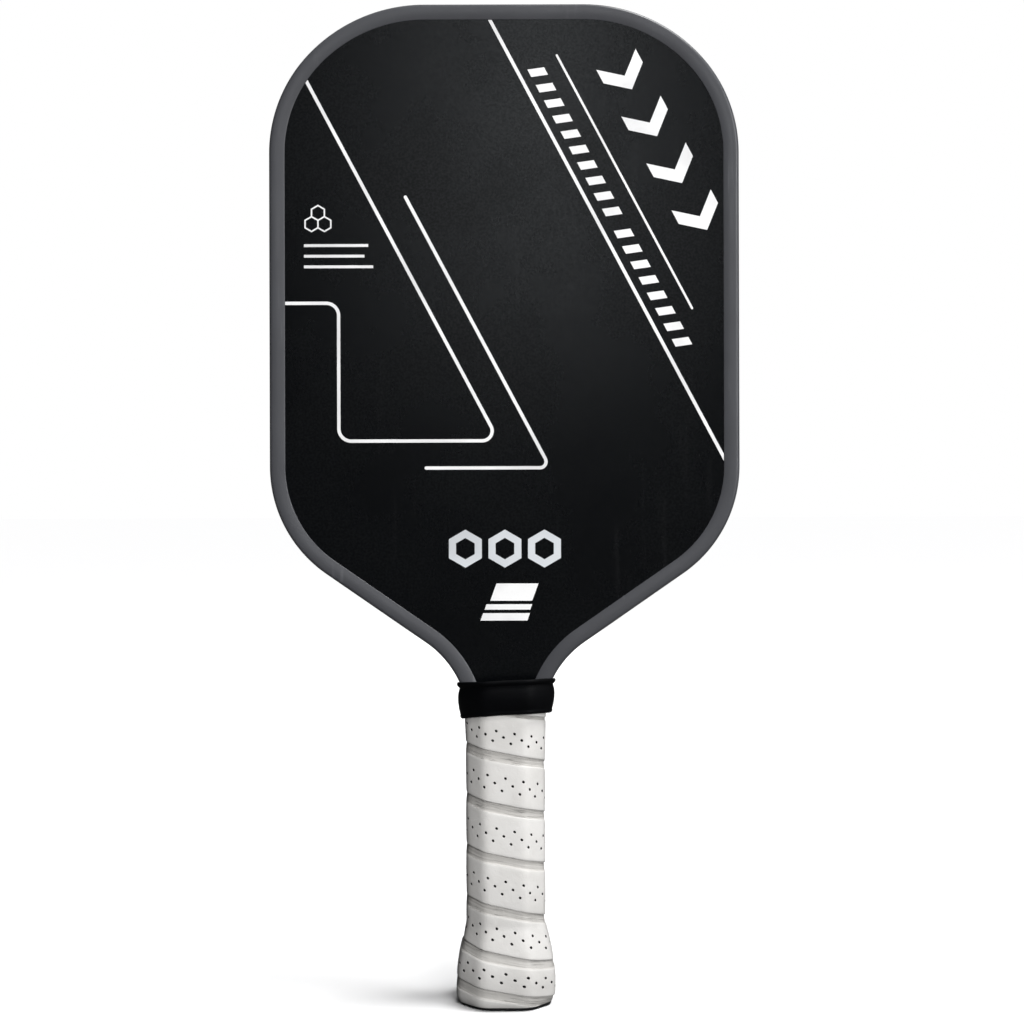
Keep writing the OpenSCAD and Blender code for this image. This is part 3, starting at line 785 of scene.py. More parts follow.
@dataclass(frozen=True)
class HeadOutline:
    """The guard's outer edge from the top centre down the right side to the handle."""

    overall: float = 405.0
    width: float = 190.5
    crown_radius: float = 65.0
    shoulder_radius: float = 58.0
    crown_turn: float = 46.0
    side: float = 127.0
    lower_radius: float = 53.0
    slope_turn: float = 55.3
    throat_radius: float = 40.0
    neck_width: float = 30.0
    end_height: float = 125.0
    degrees_per_step: float = 1.5

    def stretches(self, inwards: Points) -> list[tuple[float, float, Points]]:
        """Lists the outline's stretches.

        Args:
            inwards: Distances in from the outline.

        Returns:
            Length of a straight or radius of an arc, the turn's sign, and the turn in radians
            for each distance. The last arc turns until it is down at end_height.
        """
        crown = math.radians(self.crown_turn)
        slope = math.radians(self.slope_turn)
        quarter = math.pi / 2
        flat = (self.width / 2 - self.crown_radius * math.sin(crown)
                - self.shoulder_radius * (1 - math.sin(crown)))
        both = self.lower_radius + self.throat_radius
        slanted = (self.width / 2 - self.neck_width / 2 - both * (1 - math.cos(slope))) / math.sin(slope)
        neck = (self.overall - self.crown_radius * (1 - math.cos(crown))
                - self.shoulder_radius * math.cos(crown) - self.side
                - both * math.sin(slope) - slanted * math.cos(slope))
        last = slope - np.arcsin((self.end_height - neck) / (self.throat_radius + inwards))
        same = np.ones_like(inwards)
        return [
            (flat, 0, 0 * same), (self.crown_radius, 1, crown * same),
            (self.shoulder_radius, 1, (quarter - crown) * same), (self.side, 0, 0 * same),
            (self.lower_radius, 1, slope * same), (slanted, 0, 0 * same), (self.throat_radius, -1, last),
        ]

    def rails(self, inwards: Points) -> Points:
        """Follows the outline at several distances inside it.

        On a straight, a point moves along the heading. On an arc of radius r, a point is the
        centre plus r, less the distance inwards on an outward curve, times the outward normal.

        Args:
            inwards: Distances in from the outline.

        Returns:
            Points (x, z), stations by distances by 2, from the left end over the top to the right end.
        """
        at, heading = np.array([0.0, self.overall]), 0.0
        rows = []
        for size, side, turn in self.stretches(inwards):
            steps = max(1, math.ceil(math.degrees(float(np.max(turn))) / self.degrees_per_step))
            share = np.arange(steps)[:, None] / steps
            if side == 0:
                ahead = np.array([math.cos(heading), math.sin(heading)])
                down = np.array([math.sin(heading), -math.cos(heading)])
                rows.append(at + share[..., None] * size * ahead + inwards[None, :, None] * down)
                at = at + size * ahead
                continue
            centre = at + side * size * np.array([math.sin(heading), -math.cos(heading)])
            bearing = heading - side * share * turn[None, :]
            reach = (size - side * inwards)[None, :, None]
            rows.append(centre - side * reach * np.stack([np.sin(bearing), -np.cos(bearing)], axis=-1))
            end = heading - side * turn
            last = centre - side * reach[0] * np.stack([np.sin(end), -np.cos(end)], axis=-1)
            heading = float(end[0])
            at = centre - side * size * np.array([math.sin(heading), -math.cos(heading)])
        right = np.concatenate([*rows, last[None]])
        left = right[:0:-1] * np.array([-1.0, 1.0])
        return np.concatenate([left, right])


@dataclass(frozen=True)
class HandleShape:
    """The eight-sided handle with soft corners, swelling to a flare at the butt."""

    width: float = 32.0
    depth: float = 30.0
    corner_cut: float = 7.5
    corner_power: float = 20.0
    flare_top: float = 33.0
    flare_full: float = 9.0
    flare_out: float = 4.05
    foot_radius: float = 6.0
    foot_start: float = 4.9
    top_swell: float = 0.5
    top_swell_from: float = 96.0
    top_swell_over: float = 22.0
    outline_steps: int = 1440

    def swell(self, height: Points) -> Points:
        """How far the outer surface stands out from the straight handle.

        Quarter sine to the power 1.25 from the flare's top to its full width, less a circular
        rounding at the foot, plus a slight thickening towards the top of the grip.

        Args:
            height: Heights above the butt.

        Returns:
            The distances.
        """
        z = np.asarray(height, float)
        share = np.clip((self.flare_top - z) / (self.flare_top - self.flare_full), 0, 1)
        drop = np.clip(self.foot_start - z, 0, self.foot_radius)
        foot = self.foot_radius - np.sqrt(self.foot_radius**2 - drop**2)
        top = self.top_swell * np.clip((z - self.top_swell_from) / self.top_swell_over, 0, 1) ** 1.5
        return self.flare_out * np.sin(share * math.pi / 2) ** 1.25 - foot + top

    def reach(self, bearing: Points, out: Points) -> Points:
        """Distance from the axis to the section's outline.

        The outline is the power mean of the eight faces: one over the root of the sum of
        (cosine to the face / the face's distance) to the power, over the faces on that side.

        Args:
            bearing: Angle about +Z from +X, in radians.
            out: How far the faces stand out from the straight handle.

        Returns:
            The distances.
        """
        diagonal = (self.width / 2 + self.depth / 2 - self.corner_cut) / math.sqrt(2)
        total = 0.0
        for face in range(4):
            distance = (self.width / 2, diagonal, self.depth / 2, diagonal)[face] + out
            total = total + np.abs(np.cos(bearing - face * math.pi / 4) / distance) ** self.corner_power
        return total ** (-1 / self.corner_power)

    def outline(self) -> tuple[Points, Points]:
        """Follows the straight section once round from the middle of the rear.

        Returns:
            Angles at even steps, and the length along the outline up to each.
        """
        fine = np.linspace(0, 2 * math.pi, self.outline_steps + 1) + math.pi / 2
        edge = self.reach(fine, np.zeros_like(fine))
        places = np.stack([edge * np.cos(fine), edge * np.sin(fine)])
        return fine, np.concatenate([[0], np.cumsum(np.hypot(*np.diff(places)))])

    def bearings(self, turns: Points) -> Points:
        """Angle at each share of the way round the section, measured along its outline.

        Turn 0 is at the middle of the rear, and turns grow through the left side to the front.

        Args:
            turns: Shares of the way round.

        Returns:
            The angles, in radians.
        """
        fine, along = self.outline()
        whole = np.floor(turns)
        return 2 * math.pi * whole + np.interp(turns - whole, along / along[-1], fine)

    def girth(self) -> float:
        """Length round the straight handle, in millimetres."""
        return float(self.outline()[1][-1])

    def at(self, turns: Points, height: Points, sink: Points) -> Points:
        """Place on the grip's outer surface, sunk below it.

        Args:
            turns: Share of the way round.
            height: Height above the butt.
            sink: Depth below the outer surface.

        Returns:
            Places, with a last axis of 3.
        """
        bearing = self.bearings(turns)
        return polar(self.reach(bearing, self.swell(height) - sink), bearing, height)


def lofted(rings: Points, closed: bool) -> Surface:
    """Covers rings that run anticlockwise seen from above, as turns do.

    Args:
        rings: Rings by points by 3, up the outside first.
        closed: Joins the last ring to the first, where the rings go round a wall. Otherwise
            both ends close onto their centres.

    Returns:
        The closed surface, with its faces outwards.
    """
    surface = Surface.over_grid(rings, wrap_rows=closed, wrap_columns=True)
    return surface if closed else surface.with_poles(rings.shape[1])


# ---- Pieces ------------------------------------------------------------------------------


@dataclass
class KeptPieces:
    """The flat and hidden pieces, which keep their solid shapes."""

    finishes: Finishes

    def build(self) -> None:
        """Dresses the core, skins, print, shells, glue and staples."""
        dress = {
            Finishes.CORE: ("honeycomb_core",),
            Finishes.FILM: ("front_bond_film", "rear_bond_film", "front_handle_glue", "rear_handle_glue"),
            Finishes.CARBON: ("front_carbon_skin", "rear_carbon_skin"),
            Finishes.WHITE: ("front_print_white", "rear_print_white"),
            Finishes.SILVER: ("front_print_silver",),
            Finishes.FOAM_TAPE: ("edge_guard_tape",),
            Finishes.HANDLE: ("front_handle_shell", "rear_handle_shell"),
            Finishes.STEEL: ("butt_cap_staples", "grip_start_staple"),
        }
        for finish, nodes in dress.items():
            for node in nodes:
                self.finishes.put(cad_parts[node], finish)


@dataclass
class EdgeGuard:
    """The moulded guard: a channel with a domed back and two lips that thin to soft tips."""

    finishes: Finishes
    outline: HeadOutline
    half_thickness: float = 9.0
    lip_reach: float = 6.5
    wall: float = 1.5
    slot_half: float = 8.0
    crown_at: float = 2.6
    squareness: float = 0.55
    back_half: float = 4.4
    tip_rise: float = 0.3
    lip_power: float = 1.9

    def section(self) -> Points:
        """The guard's section as (distance inwards, depth).

        Each side of the back is a quarter of a superellipse, cosine and sine to the power
        squareness, from the flat of the back to the lip's crown. From there the lip falls by a
        power curve to its tip.

        Returns:
            Points of one closed outline.
        """
        angle = np.linspace(0, math.pi / 2, 13)
        back_u = self.crown_at * (1 - np.cos(angle) ** self.squareness)
        back_v = self.back_half + (self.half_thickness - self.back_half) * np.sin(angle) ** self.squareness
        share = np.linspace(0, 1, 9)[1:]
        fall = self.half_thickness - self.slot_half - self.tip_rise
        lip_u = self.crown_at + (self.lip_reach - 0.25 - self.crown_at) * share
        lip_v = self.half_thickness - fall * share**self.lip_power
        tip = [(self.lip_reach - 0.07, self.slot_half + self.tip_rise * 0.72),
               (self.lip_reach, self.slot_half + self.tip_rise * 0.35),
               (self.lip_reach - 0.05, self.slot_half + 0.02)]
        inner = [(self.wall + 0.4, self.slot_half + 0.02), (self.wall, self.slot_half - 0.4)]
        back, lip = np.stack([back_u, back_v], axis=1), np.stack([lip_u, lip_v], axis=1)
        half = np.concatenate([back, lip, tip, inner])
        return np.concatenate([half[::-1] * [1, -1], half])

    def build(self) -> bpy.types.Object:
        """Sweeps the section round the head.

        Returns:
            The guard.
        """
        section = self.section()
        rails = self.outline.rails(section[:, 0])
        depth = np.broadcast_to(section[:, 1], rails.shape[:2])
        points = np.stack([rails[..., 0], depth, rails[..., 1]], axis=-1)
        surface = Surface.over_grid(points, wrap_columns=True).with_poles(points.shape[1])
        surface.quads, surface.triangles = surface.quads[:, ::-1], surface.triangles[:, ::-1]
        piece = surface.to_object("moulded_edge_guard", sharp_degrees=50)
        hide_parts("edge_guard")
        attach(piece, Body.PADDLE.value)
        self.finishes.put(piece, Finishes.GUARD)
        return piece


@dataclass
class GripStrip:
    """The wound strip: one spiral sheet with a raised free edge, a bare margin and punched holes.

    A place on it is (turns, up): how many times round it has gone from the rear, downwards, and
    millimetres up from its free edge. Where the turns lie closer, the strip is narrower.
    """

    finishes: Finishes
    handle: HandleShape
    top: float = 124.5
    bottom: float = 1.5
    thickness: float = 0.78
    edge_height: float = 112.8
    pitch: float = 20.7
    bends: tuple[tuple[float, float], ...] = ((0.25, 5.7), (3.9, 4.0), (4.6, 2.5))
    holes_per_turn: float = 14.5
    steps_per_hole: int = 10
    hole_steps: int = 5
    row_shift: int = 4
    hole_radius: float = 0.55
    row_pitch: float = 2.6
    first_row: float = 5.6
    rows: int = 3
    margin: float = 3.7
    flare_sway: float = 1.3
    # Strip coordinate given to the cut walls, which the leather paints near-black as shade.
    wall_mark: float = -5.0
    plump_mm: float = 0.14
    crease_mm: float = 0.06
    dimple_radius: float = 0.8
    hole_edge: float = 0.08
    most_turns: int = 7
    row_steps: int = 3
    clear_below: float = 3.5
    clear_above: float = 1.5
    top_softness: float = 0.08
    low_softness: float = 0.1
    sway_from: float = 3.2
    margin_sway: float = 0.11
    margin_wander: float = 0.05
    top_margin: float = 0.35
    top_margin_turns: float = 0.72
    cut_width: float = 0.025
    cut_length: float = 0.64
    rests_on: str = "grip_backing_foam"

    def edge(self, turns: Points) -> Points:
        """Height of the free edge.

        It falls by pitch each turn. Past each bend it falls by that bend's second number less,
        save that the first bend counts above it. Low down it also sways, high on the left.

        Args:
            turns: Turns round the handle.

        Returns:
            The heights.
        """
        (top_bend, top_less), *lower = self.bends
        height = self.edge_height - self.pitch * turns - top_less * soft_ramp(
            top_bend - turns, self.top_softness)
        sway = self.flare_sway * np.clip(turns - self.sway_from, 0, 1) * np.sin(2 * math.pi * turns)
        return height + sway + sum(
            less * soft_ramp(turns - bend, self.low_softness) for bend, less in lower)

    def lines(self) -> Points:
        """The strip's lengthwise lines.

        Returns:
            For each line its distance up from the free edge, its distance down from the turn
            above, the share of the second, and how far it is sunk.
        """
        low = self.first_row - self.row_pitch / 2
        high = low + self.rows * self.row_pitch
        rim = [(0.0, 0.62), (0.07, 0.42), (0.16, 0.2), (0.34, 0.06), (0.7, 0.0), (1.6, 0.0), (2.9, 0.0)]
        lower = [(up, 0.0, 0.0, sink) for up, sink in rim]
        lower += [(low + k * self.row_pitch / self.row_steps, 0.0, 0.0, 0.0)
                  for k in range(self.row_steps * self.rows + 1)]
        body = [(high, self.margin + 0.55, share, 0.0) for share in (0.25, 0.5, 0.75, 1.0)]
        bare = [(0.25, 0.05), (0.0, 0.2), (-0.18, 0.33), (-0.5, 0.36), (-1.0, 0.37), (-1.6, 0.37),
                (-2.2, 0.4), (-2.8, 0.46), (0.2 - self.margin, 0.54), (-self.margin, 0.62)]
        upper = [(0.0, self.margin + shift, 1.0, sink) for shift, sink in bare]
        return np.array(lower + body + upper)

    def margin_share(self, turns: Points) -> Points:
        """Width of the margin over its usual width: wider on the left, and narrow at the top turn.

        Args:
            turns: Turns round the handle.

        Returns:
            The shares.
        """
        phase = 2 * math.pi * turns
        usual = 1.0 + self.margin_sway * np.sin(phase) + self.margin_wander * ripple(phase, 2.7, 4.3)
        past_top = np.clip((turns - self.top_margin_turns) / 0.2, 0, 1)
        return usual * (self.top_margin + (1 - self.top_margin) * past_top)

    def place(self, turns: Points, up: Points, down: Points, share: Points, sink: Points) -> Points:
        """Finds places on the strip.

        Args:
            turns: Turns round the handle.
            up: Distance up from the free edge at full pitch.
            down: Distance down from the turn above at the usual margin.
            share: Share of the second distance.
            sink: Depth below the outer surface.

        Returns:
            The places.
        """
        low, high = self.edge(turns), self.edge(turns - 1)
        from_edge = low + up * (high - low) / self.pitch
        from_above = high - down * self.margin_share(turns)
        height = (1 - share) * from_edge + share * from_above
        plump = np.sin(np.clip((height - low) / (high - low), 0, 1) * math.pi) * self.plump_mm
        return self.handle.at(turns, np.clip(height, self.bottom, self.top), sink - plump)

    def sheet(self, extra_sink: float) -> tuple[Points, Points, Points]:
        """Lays out the sheet's grid with holes.

        Each hole sits in a patch of hole_steps by row_steps grid squares. The squares are left out and
        rings of points lead from the patch's border in to the hole's edge.

        Args:
            extra_sink: Further depth of the whole sheet.

        Returns:
            Points, quads, and the strip coordinates of every point.
        """
        up, down, share, sink = self.lines().T
        steps = self.holes_per_turn * self.steps_per_hole
        first, last = -int(steps), int(self.most_turns * steps)
        turns = (np.arange(first, last + 1) / steps)[:, None]
        bare = (sink > 0.3) * (sink < 0.5)
        crease = self.crease_mm * ripple(turns * 2 * math.pi, 31.0, 47.3, 73.9) * bare
        points = self.place(turns, up[None], down[None], share[None], sink + crease + extra_sink)
        along = turns * self.handle.girth()
        across = (1 - share) * up + share * (self.pitch - down)
        uvs = np.stack(np.broadcast_arrays(along, across[None]), axis=-1)
        index = np.arange(points.shape[0] * len(up)).reshape(-1, len(up))
        square = np.stack([index[:-1, :-1], index[1:, :-1], index[1:, 1:], index[:-1, 1:]], axis=-1)
        start = int(np.searchsorted(up[:17], self.first_row - self.row_pitch / 2 - 1e-6))
        patches = (last - first) // self.steps_per_hole - 1
        hole, row = np.meshgrid(np.arange(patches), np.arange(self.rows), indexing="ij")
        column = hole * self.steps_per_hole + (self.rows - 1 - row) * self.row_shift
        low = self.edge((column + first) / steps) + start
        high = low + self.rows * self.row_pitch
        inside = (low > self.bottom + self.clear_below) & (high < self.top - self.clear_above)
        column, row = column[inside], row[inside]
        covered = np.ones(square.shape[:2], bool)
        for step in range(self.hole_steps):
            for rise in range(self.row_steps):
                covered[column + step, start + row * self.row_steps + rise] = False
        ring_points, ring_quads, ring_uvs = self.hole_rings(
            column, row, start, index, first / steps, extra_sink)
        return (np.concatenate([points.reshape(-1, 3), ring_points]),
                np.concatenate([square[covered], ring_quads]),
                np.concatenate([uvs.reshape(-1, 2), ring_uvs]))

    def hole_rings(self, column: Points, row: Points, start: int, index: Points, first_turn: float,
                   extra_sink: float) -> tuple[Points, Points, Points]:
        """Makes the rings of points from each patch's border to its hole.

        Args:
            column: Grid row where each hole's patch starts, along the strip.
            row: Row of each hole, from the lowest.
            start: Line where the rows start.
            index: Grid of point numbers.
            first_turn: Turns at the grid's first row.
            extra_sink: Further depth of the whole sheet.

        Returns:
            New points, quads and strip coordinates.
        """
        k, m, girth = self.hole_steps, self.row_steps, self.handle.girth()
        border = ([(i, 0) for i in range(k)] + [(k, j) for j in range(m)]
                  + [(k - i, m) for i in range(k)] + [(0, m - j) for j in range(m)])
        di, dj = np.array(border).T
        outer = index[column[:, None] + di, start + row[:, None] * m + dj]
        step_turns = 1 / (self.holes_per_turn * self.steps_per_hole)
        angle = np.arctan2((dj - m / 2) * self.row_pitch / m, (di - k / 2) * step_turns * girth)
        centre_turns = (first_turn + (column + k / 2) * step_turns)[:, None]
        centre_up = (self.first_row + row * self.row_pitch)[:, None]
        squeeze = (self.edge(centre_turns - 1) - self.edge(centre_turns)) / self.pitch
        rings, ring_uvs = [], []
        depths = {self.dimple_radius: 0.0, self.hole_radius + self.hole_edge: 0.01, self.hole_radius: 0.05}
        for radius, sink in depths.items():
            turns = centre_turns + radius * np.cos(angle) / girth
            up = centre_up + radius * np.sin(angle) / squeeze
            none = np.zeros_like(up)
            rings.append(self.place(turns, up, none, none, none + sink + extra_sink))
            ring_uvs.append(np.stack([turns * girth, up], axis=-1))
        count = len(border)
        numbers = index.size + np.arange(len(column) * len(rings) * count).reshape(-1, len(rings), count)
        loops = [outer, *np.moveaxis(numbers, 1, 0)]
        quads = [np.stack([a, np.roll(a, -1, axis=1), np.roll(b, -1, axis=1), b], axis=-1).reshape(-1, 4)
                 for a, b in zip(loops, loops[1:])]
        return (np.stack(rings, axis=1).reshape(-1, 3), np.concatenate(quads),
                np.stack(ring_uvs, axis=1).reshape(-1, 2))

    def build(self) -> bpy.types.Object:
        """Makes the closed strip from its outer sheet and the same sheet one thickness below.

        Returns:
            The strip.
        """
        points, quads, uvs = self.sheet(0.0)
        inner = self.sheet(self.thickness)[0]
        z = points[quads][..., 2]
        lost = (z >= self.top - 1e-6).all(axis=1) | (z <= self.bottom + 1e-6).all(axis=1)
        quads = quads[~lost]
        keys = np.round(points / WELD_MM).astype(np.int64)
        first = np.unique(keys, axis=0, return_index=True)[1]
        outer = Surface(points, quads, quad_uvs=uvs[quads]).welded()
        piece = outer.thickened(inner[first], (0.0, self.wall_mark)).to_object("wound_grip_strip", 60)
        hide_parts("grip_wrap")
        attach(piece, Body.PADDLE.value)
        self.finishes.put(piece, Finishes.LEATHER)
        return piece


@dataclass
class GripBacking:
    """The foam under the strip: a soft sleeve that shows through the holes."""

    finishes: Finishes
    handle: HandleShape
    outer_sink: float = 1.36
    inner_sink: float = 2.0
    top: float = 124.3
    bottom: float = 1.5
    around: int = 96

    def build(self) -> bpy.types.Object:
        """Lofts the sleeve up its outside and down its inside.

        Returns:
            The sleeve.
        """
        turns = np.arange(self.around)[None, :] / self.around
        heights = np.concatenate([np.linspace(self.bottom, self.handle.flare_top + 2, 18),
                                  np.linspace(self.handle.flare_top + 6, self.top, 10)])
        column = np.concatenate([heights, heights[::-1]])[:, None]
        sink = np.repeat([self.outer_sink, self.inner_sink], len(heights))[:, None]
        piece = lofted(self.handle.at(turns, column, sink), closed=True).to_object("grip_backing_foam", 40)
        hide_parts("grip_foam_backing")
        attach(piece, Body.PADDLE.value)
        self.finishes.put(piece, Finishes.BACKING)
        return piece


@dataclass
class ButtCap:
    """The slip-over cap: a flat foot with a round recess, a bare rim and a socket under the grip."""

    finishes: Finishes
    handle: HandleShape
    rim_top: float = 1.45
    socket_floor: float = 3.0
    top: float = 30.0
    skin: float = 2.0
    socket_wall: float = 1.2
    recess_radius: float = 12.1
    recess_depth: float = 1.0
    around: int = 96

    def rings(self) -> Points:
        """Rings from the middle of the recess out over the foot, up the outside and down the socket.

        A ring blends from a circle to the handle's section by its share of squareness.

        Returns:
            Rings by points by 3.
        """
        swell = float(self.handle.swell(np.array(self.rim_top)))
        outside = np.linspace(self.rim_top, self.top, 16)
        levels = [
            (self.recess_radius - 0.05, 0.0, self.recess_depth, 0.0),
            (self.recess_radius, 0.0, self.recess_depth - 0.05, 0.0),
            (self.recess_radius, 0.0, 0.12, 0.0), (self.recess_radius + 0.12, 0.0, 0.0, 0.0),
            (0.0, swell - 2.3, 0.0, 1.0), (0.0, swell - 1.5, 0.0, 1.0), (0.0, swell - 0.95, 0.12, 1.0),
            (0.0, swell - 0.62, 0.4, 1.0), (0.0, swell - 0.5, 0.85, 1.0),
            (0.0, swell - 0.5, self.rim_top, 1.0),
        ]
        levels += [(0.0, float(self.handle.swell(z)) - self.skin, float(z) + 0.02, 1.0) for z in outside]
        inner = -self.skin - self.socket_wall
        levels += [(0.0, inner, self.top + 0.02, 1.0), (0.0, inner, self.socket_floor, 1.0)]
        bearing = self.handle.bearings(np.arange(self.around) / self.around)
        radius, out, height, square = (np.array(c)[:, None] for c in zip(*levels))
        reach = (1 - square) * radius + square * self.handle.reach(bearing[None, :], out)
        return polar(reach, bearing, height)

    def build(self) -> list[bpy.types.Object]:
        """Makes the cap and its end disc.

        Returns:
            Both pieces.
        """
        cap = lofted(self.rings(), closed=False).to_object("flared_butt_cap", sharp_degrees=35)
        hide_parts("butt_cap")
        disc = self.disc()
        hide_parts("butt_cap_disc")
        for piece in (cap, disc):
            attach(piece, Body.PADDLE.value)
            self.finishes.put(piece, Finishes.CAP)
        return [cap, disc]

    def disc(self) -> bpy.types.Object:
        """Turns the end disc: a dished face inside a raised ring, with a groove between.

        Returns:
            The disc.
        """
        profile = [(3.0, 0.42), (7.6, 0.40), (8.2, 0.34), (8.5, 0.5), (9.0, 0.5), (9.3, 0.24), (9.7, 0.16),
                   (11.5, 0.16), (11.85, 0.26), (11.95, 0.45), (11.95, 0.95), (11.0, 0.99), (4.0, 0.99)]
        radius, height = np.array(profile).T
        angle = np.arange(self.around) / self.around * 2 * math.pi
        points = polar(radius[:, None], angle, height[:, None])
        return lofted(points, closed=False).to_object("butt_end_disc", sharp_degrees=40)


@dataclass
class FinishingTape:
    """One and a bit turns of thin tape over the end of the strip, slightly rucked."""

    finishes: Finishes
    handle: HandleShape
    top: float = 124.2
    width: float = 4.4
    thickness: float = 0.2
    around: int = 144

    def build(self) -> bpy.types.Object:
        """Lofts the tape round the grip with small ruffles along its lower edge.

        Returns:
            The tape.
        """
        turns = np.arange(self.around)[None, :] / self.around
        share = np.array([0, 0.02, 0.2, 0.4, 0.6, 0.8, 0.98, 1.0, 1.0, 0.0])[:, None]
        out = np.array([0.05, 1, 1, 1, 1, 1, 1, 0.05, 0, 0])[:, None] * self.thickness
        ruffle = 0.05 * ripple(turns * 2 * math.pi, 9.0, 14.0, 23.0) * (1 - share) * (out > 0.1)
        wander = 0.15 * ripple(turns * 2 * math.pi, 2.0, 3.0)
        height = self.top + (wander - self.width) * (1 - share)
        step = self.thickness * 0.5 * (turns < 0.2) * (out > 0.1)
        piece = lofted(self.handle.at(turns, height, -(out + ruffle + step)), closed=True).to_object(
            "finishing_tape_turn", 40)
        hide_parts("finishing_tape")
        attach(piece, Body.PADDLE.value)
        self.finishes.put(piece, Finishes.TAPE)
        return piece


@dataclass
class GripBand:
    """The stretchy band: a waisted sleeve with a rolled lip at the top and a hem at the foot."""

    finishes: Finishes
    handle: HandleShape
    foot: float = 116.6
    height: float = 13.9
    gap: float = 0.6
    spread: float = 1.5
    shift_x: float = 0.4
    tilt_x: float = 0.042
    tilt_y: float = -0.09
    sag: float = 1.1
    spread_from: float = 0.35
    wave_mm: float = 0.12
    around: int = 160
    smoothness: int = 5

    def wall(self) -> Points:
        """Section of the wall, up the outside and down the inside.

        Returns:
            Points of (share of the height, distance out).
        """
        return smooth_loop([
            (0.0, 0.5), (0.015, 1.25), (0.06, 1.66), (0.115, 1.6), (0.155, 1.72), (0.3, 2.2), (0.48, 2.42),
            (0.66, 2.05), (0.79, 1.3), (0.835, 1.05), (0.87, 1.4), (0.92, 1.78), (0.975, 1.55), (1.0, 1.0),
            (0.985, 0.35), (0.93, 0.02), (0.75, 0.15), (0.5, 0.85), (0.25, 0.4), (0.06, 0.02),
        ], self.smoothness)

    def build(self) -> bpy.types.Object:
        """Lofts the wall round the handle, widened at the top and tilted.

        The height gains tilt_x times x and tilt_y times y, and loses sag at the left of the
        foot. The wall's distance out gains spread times the raised share of the height at the
        sides, where the guard's ends push it out.

        Returns:
            The band.
        """
        share, out = self.wall().T[:, :, None]
        turns = np.arange(self.around)[None, :] / self.around
        bearing = self.handle.bearings(turns)
        sides = np.abs(np.cos(bearing)) ** 1.5
        raised = np.clip(share - self.spread_from, 0, 1) / (1 - self.spread_from)
        wave = self.wave_mm * ripple(turns * 2 * math.pi, 3.0, 5.0, 8.0)
        pushed = self.spread * raised**1.6 * sides
        reach = self.handle.reach(bearing, self.handle.top_swell + self.gap + out + pushed + wave * 0.6)
        x, y = reach * np.cos(bearing) + self.shift_x, reach * np.sin(bearing)
        left = np.clip(-np.cos(bearing), 0, 1) ** 3 * (1 - share)
        z = self.foot + self.height * share + self.tilt_x * x + self.tilt_y * y + wave - self.sag * left
        piece = lofted(np.stack([x, y, z], axis=-1), closed=True).to_object("rubber_grip_band", 50)
        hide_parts("grip_band")
        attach(piece, Body.BAND.value)
        self.finishes.put(piece, Finishes.RUBBER)
        return piece


# ---- Studio ------------------------------------------------------------------------------


@dataclass(frozen=True)
class Lamp:
    """A soft lamp that looks at a target. Places and sizes are in metres.

    A panel has a size and watts. Without a size it is a distant lamp as wide as spread_degrees,
    whose power is in watts per square metre.
    """

    name: str
    place: tuple[float, float, float]
    target: tuple[float, float, float]
    power: float
    size: Optional[tuple[float, float]] = None
    spread_degrees: float = 0.0
    reflected: bool = True
    diffused: bool = True

    def build(self) -> bpy.types.Object:
        """Makes the lamp.

        Returns:
            The lamp.
        """
        lamp = bpy.data.lights.new(self.name, "AREA" if self.size else "SUN")
        lamp.energy = self.power
        if self.size:
            lamp.shape, lamp.size, lamp.size_y = "RECTANGLE", *self.size
        else:
            lamp.angle = math.radians(self.spread_degrees)
        piece = bpy.data.objects.new(self.name, lamp)
        aim = Vector(self.target) - Vector(self.place)
        piece.location = self.place
        piece.rotation_euler = aim.to_track_quat("-Z", "Y").to_euler()
        piece.visible_glossy, piece.visible_diffuse = self.reflected, self.diffused
        bpy.context.scene.collection.objects.link(piece)
        return piece


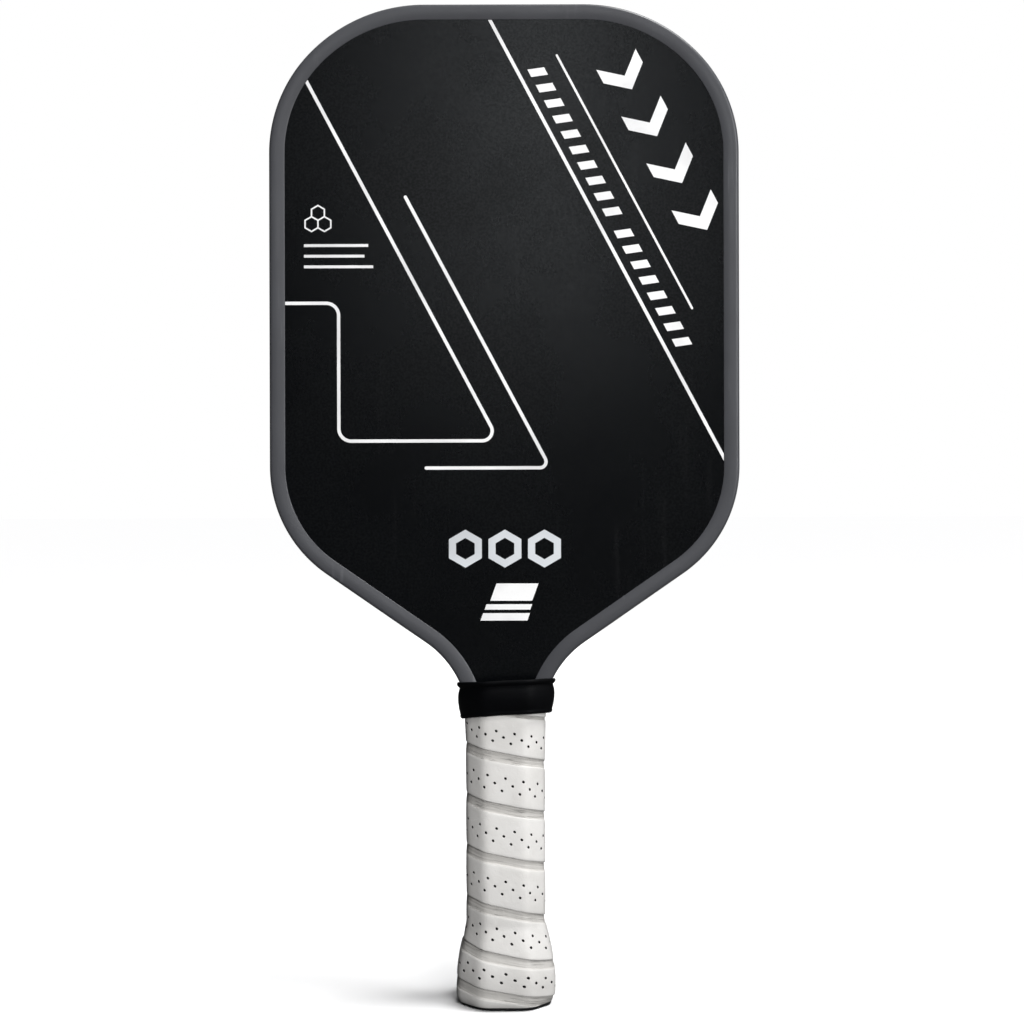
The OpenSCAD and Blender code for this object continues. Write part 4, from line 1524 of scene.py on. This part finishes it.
@dataclass
class Studio:
    """White floor and background, soft lamps and the camera."""

    camera_place: tuple[float, float, float] = (0.0029, -0.684, 0.1993)
    lens: float = 58.74
    sensor: float = 36.0
    roll_degrees: float = 0.15
    ambient: float = 0.032
    floor_seen: float = 0.93
    floor_felt: float = 0.08
    lamps: tuple[Lamp, ...] = (
        Lamp("front_panel", (0.60, -1.60, 0.50), (0.0, 0.0, 0.2), 24.0, (0.7, 0.7), reflected=False),
        Lamp("high_panel", (0.12, -1.1, 1.35), (0.0, 0.0, 0.3), 7.5, (0.5, 0.4), reflected=False),
        Lamp("sheen_panel", (0.03, -1.1, 0.72), (0.03, 0.0, 0.72), 1.1, (0.24, 0.70), diffused=False),
        Lamp("side_panel", (1.05, -0.85, 0.60), (0.0, 0.0, 0.25), 8.0, (0.4, 0.9), diffused=False),
        Lamp("rear_panel", (0.3, 1.8, 0.9), (0.0, 0.0, 0.2), 9.0, (1.0, 1.0)),
        Lamp("overhead", (0.37, -0.05, 0.92), (0.0, 0.0, 0.0), 3.65, spread_degrees=26.0),
    )

    def world(self) -> None:
        """Makes a background that is white to the camera and dim to everything else."""
        world = bpy.data.worlds.new("studio")
        world.use_nodes = True
        sheet = NodeSheet(world.node_tree)
        ray = sheet.add("LightPath").outputs["Is Camera Ray"]
        seen = sheet.add("Background", Color=(1.0, 1.0, 1.0, 1.0), Strength=1.0)
        felt = sheet.add("Background", Color=(1.0, 1.0, 1.0, 1.0), Strength=self.ambient)
        mixed = sheet.add("MixShader", Fac=ray)
        sheet.feed(mixed.inputs[1], felt.outputs[0])
        sheet.feed(mixed.inputs[2], seen.outputs[0])
        sheet.add("OutputWorld", Surface=mixed.outputs[0])
        bpy.context.scene.world = world

    def floor(self) -> None:
        """Lays a pale floor that runs out of sight, and that throws little light back up."""
        line = np.linspace(-60000.0, 60000.0, 9)
        x, y = np.meshgrid(line, line, indexing="ij")
        surface = Surface.over_grid(np.stack([x, y, np.zeros_like(x)], axis=-1))
        surface.quads = surface.quads[:, ::-1]
        piece = surface.to_object("floor")
        material, sheet = NodeSheet.on_new_material("pale_floor")
        ray = sheet.add("LightPath").outputs["Is Camera Ray"]
        tones = [(tone, tone, tone * 1.004, 1.0) for tone in (self.floor_felt, self.floor_seen)]
        shader = sheet.add(
            "BsdfPrincipled", Base_Color=sheet.mix(ray, *tones), Roughness=0.9, Specular_IOR_Level=0.1)
        sheet.add("OutputMaterial", Surface=shader.outputs[0])
        piece.data.materials.append(material)

    def camera(self) -> None:
        """Sets up the camera, level and square to the front face."""
        data = bpy.data.cameras.new("camera")
        data.lens, data.sensor_width = self.lens, self.sensor
        data.clip_start, data.clip_end = 0.01, 500.0
        piece = bpy.data.objects.new("camera", data)
        piece.location = self.camera_place
        piece.rotation_euler = (math.pi / 2, math.radians(self.roll_degrees), 0.0)
        bpy.context.scene.collection.objects.link(piece)
        bpy.context.scene.camera = piece

    def build(self) -> None:
        """Builds the studio."""
        bpy.context.scene.view_settings.view_transform = "Standard"
        self.camera()
        self.world()
        self.floor()
        for lamp in self.lamps:
            lamp.build()


def main() -> None:
    """Builds the studio and every piece of the paddle."""
    logging.basicConfig(level=logging.INFO, format="%(name)s: %(message)s")
    Studio().build()
    EffectGroups().build()
    finishes = Finishes()
    handle = HandleShape()
    KeptPieces(finishes).build()
    EdgeGuard(finishes, HeadOutline()).build()
    GripBacking(finishes, handle).build()
    GripStrip(finishes, handle).build()
    FinishingTape(finishes, handle).build()
    GripBand(finishes, handle).build()
    ButtCap(finishes, handle).build()


if __name__ == "__main__":
    main()
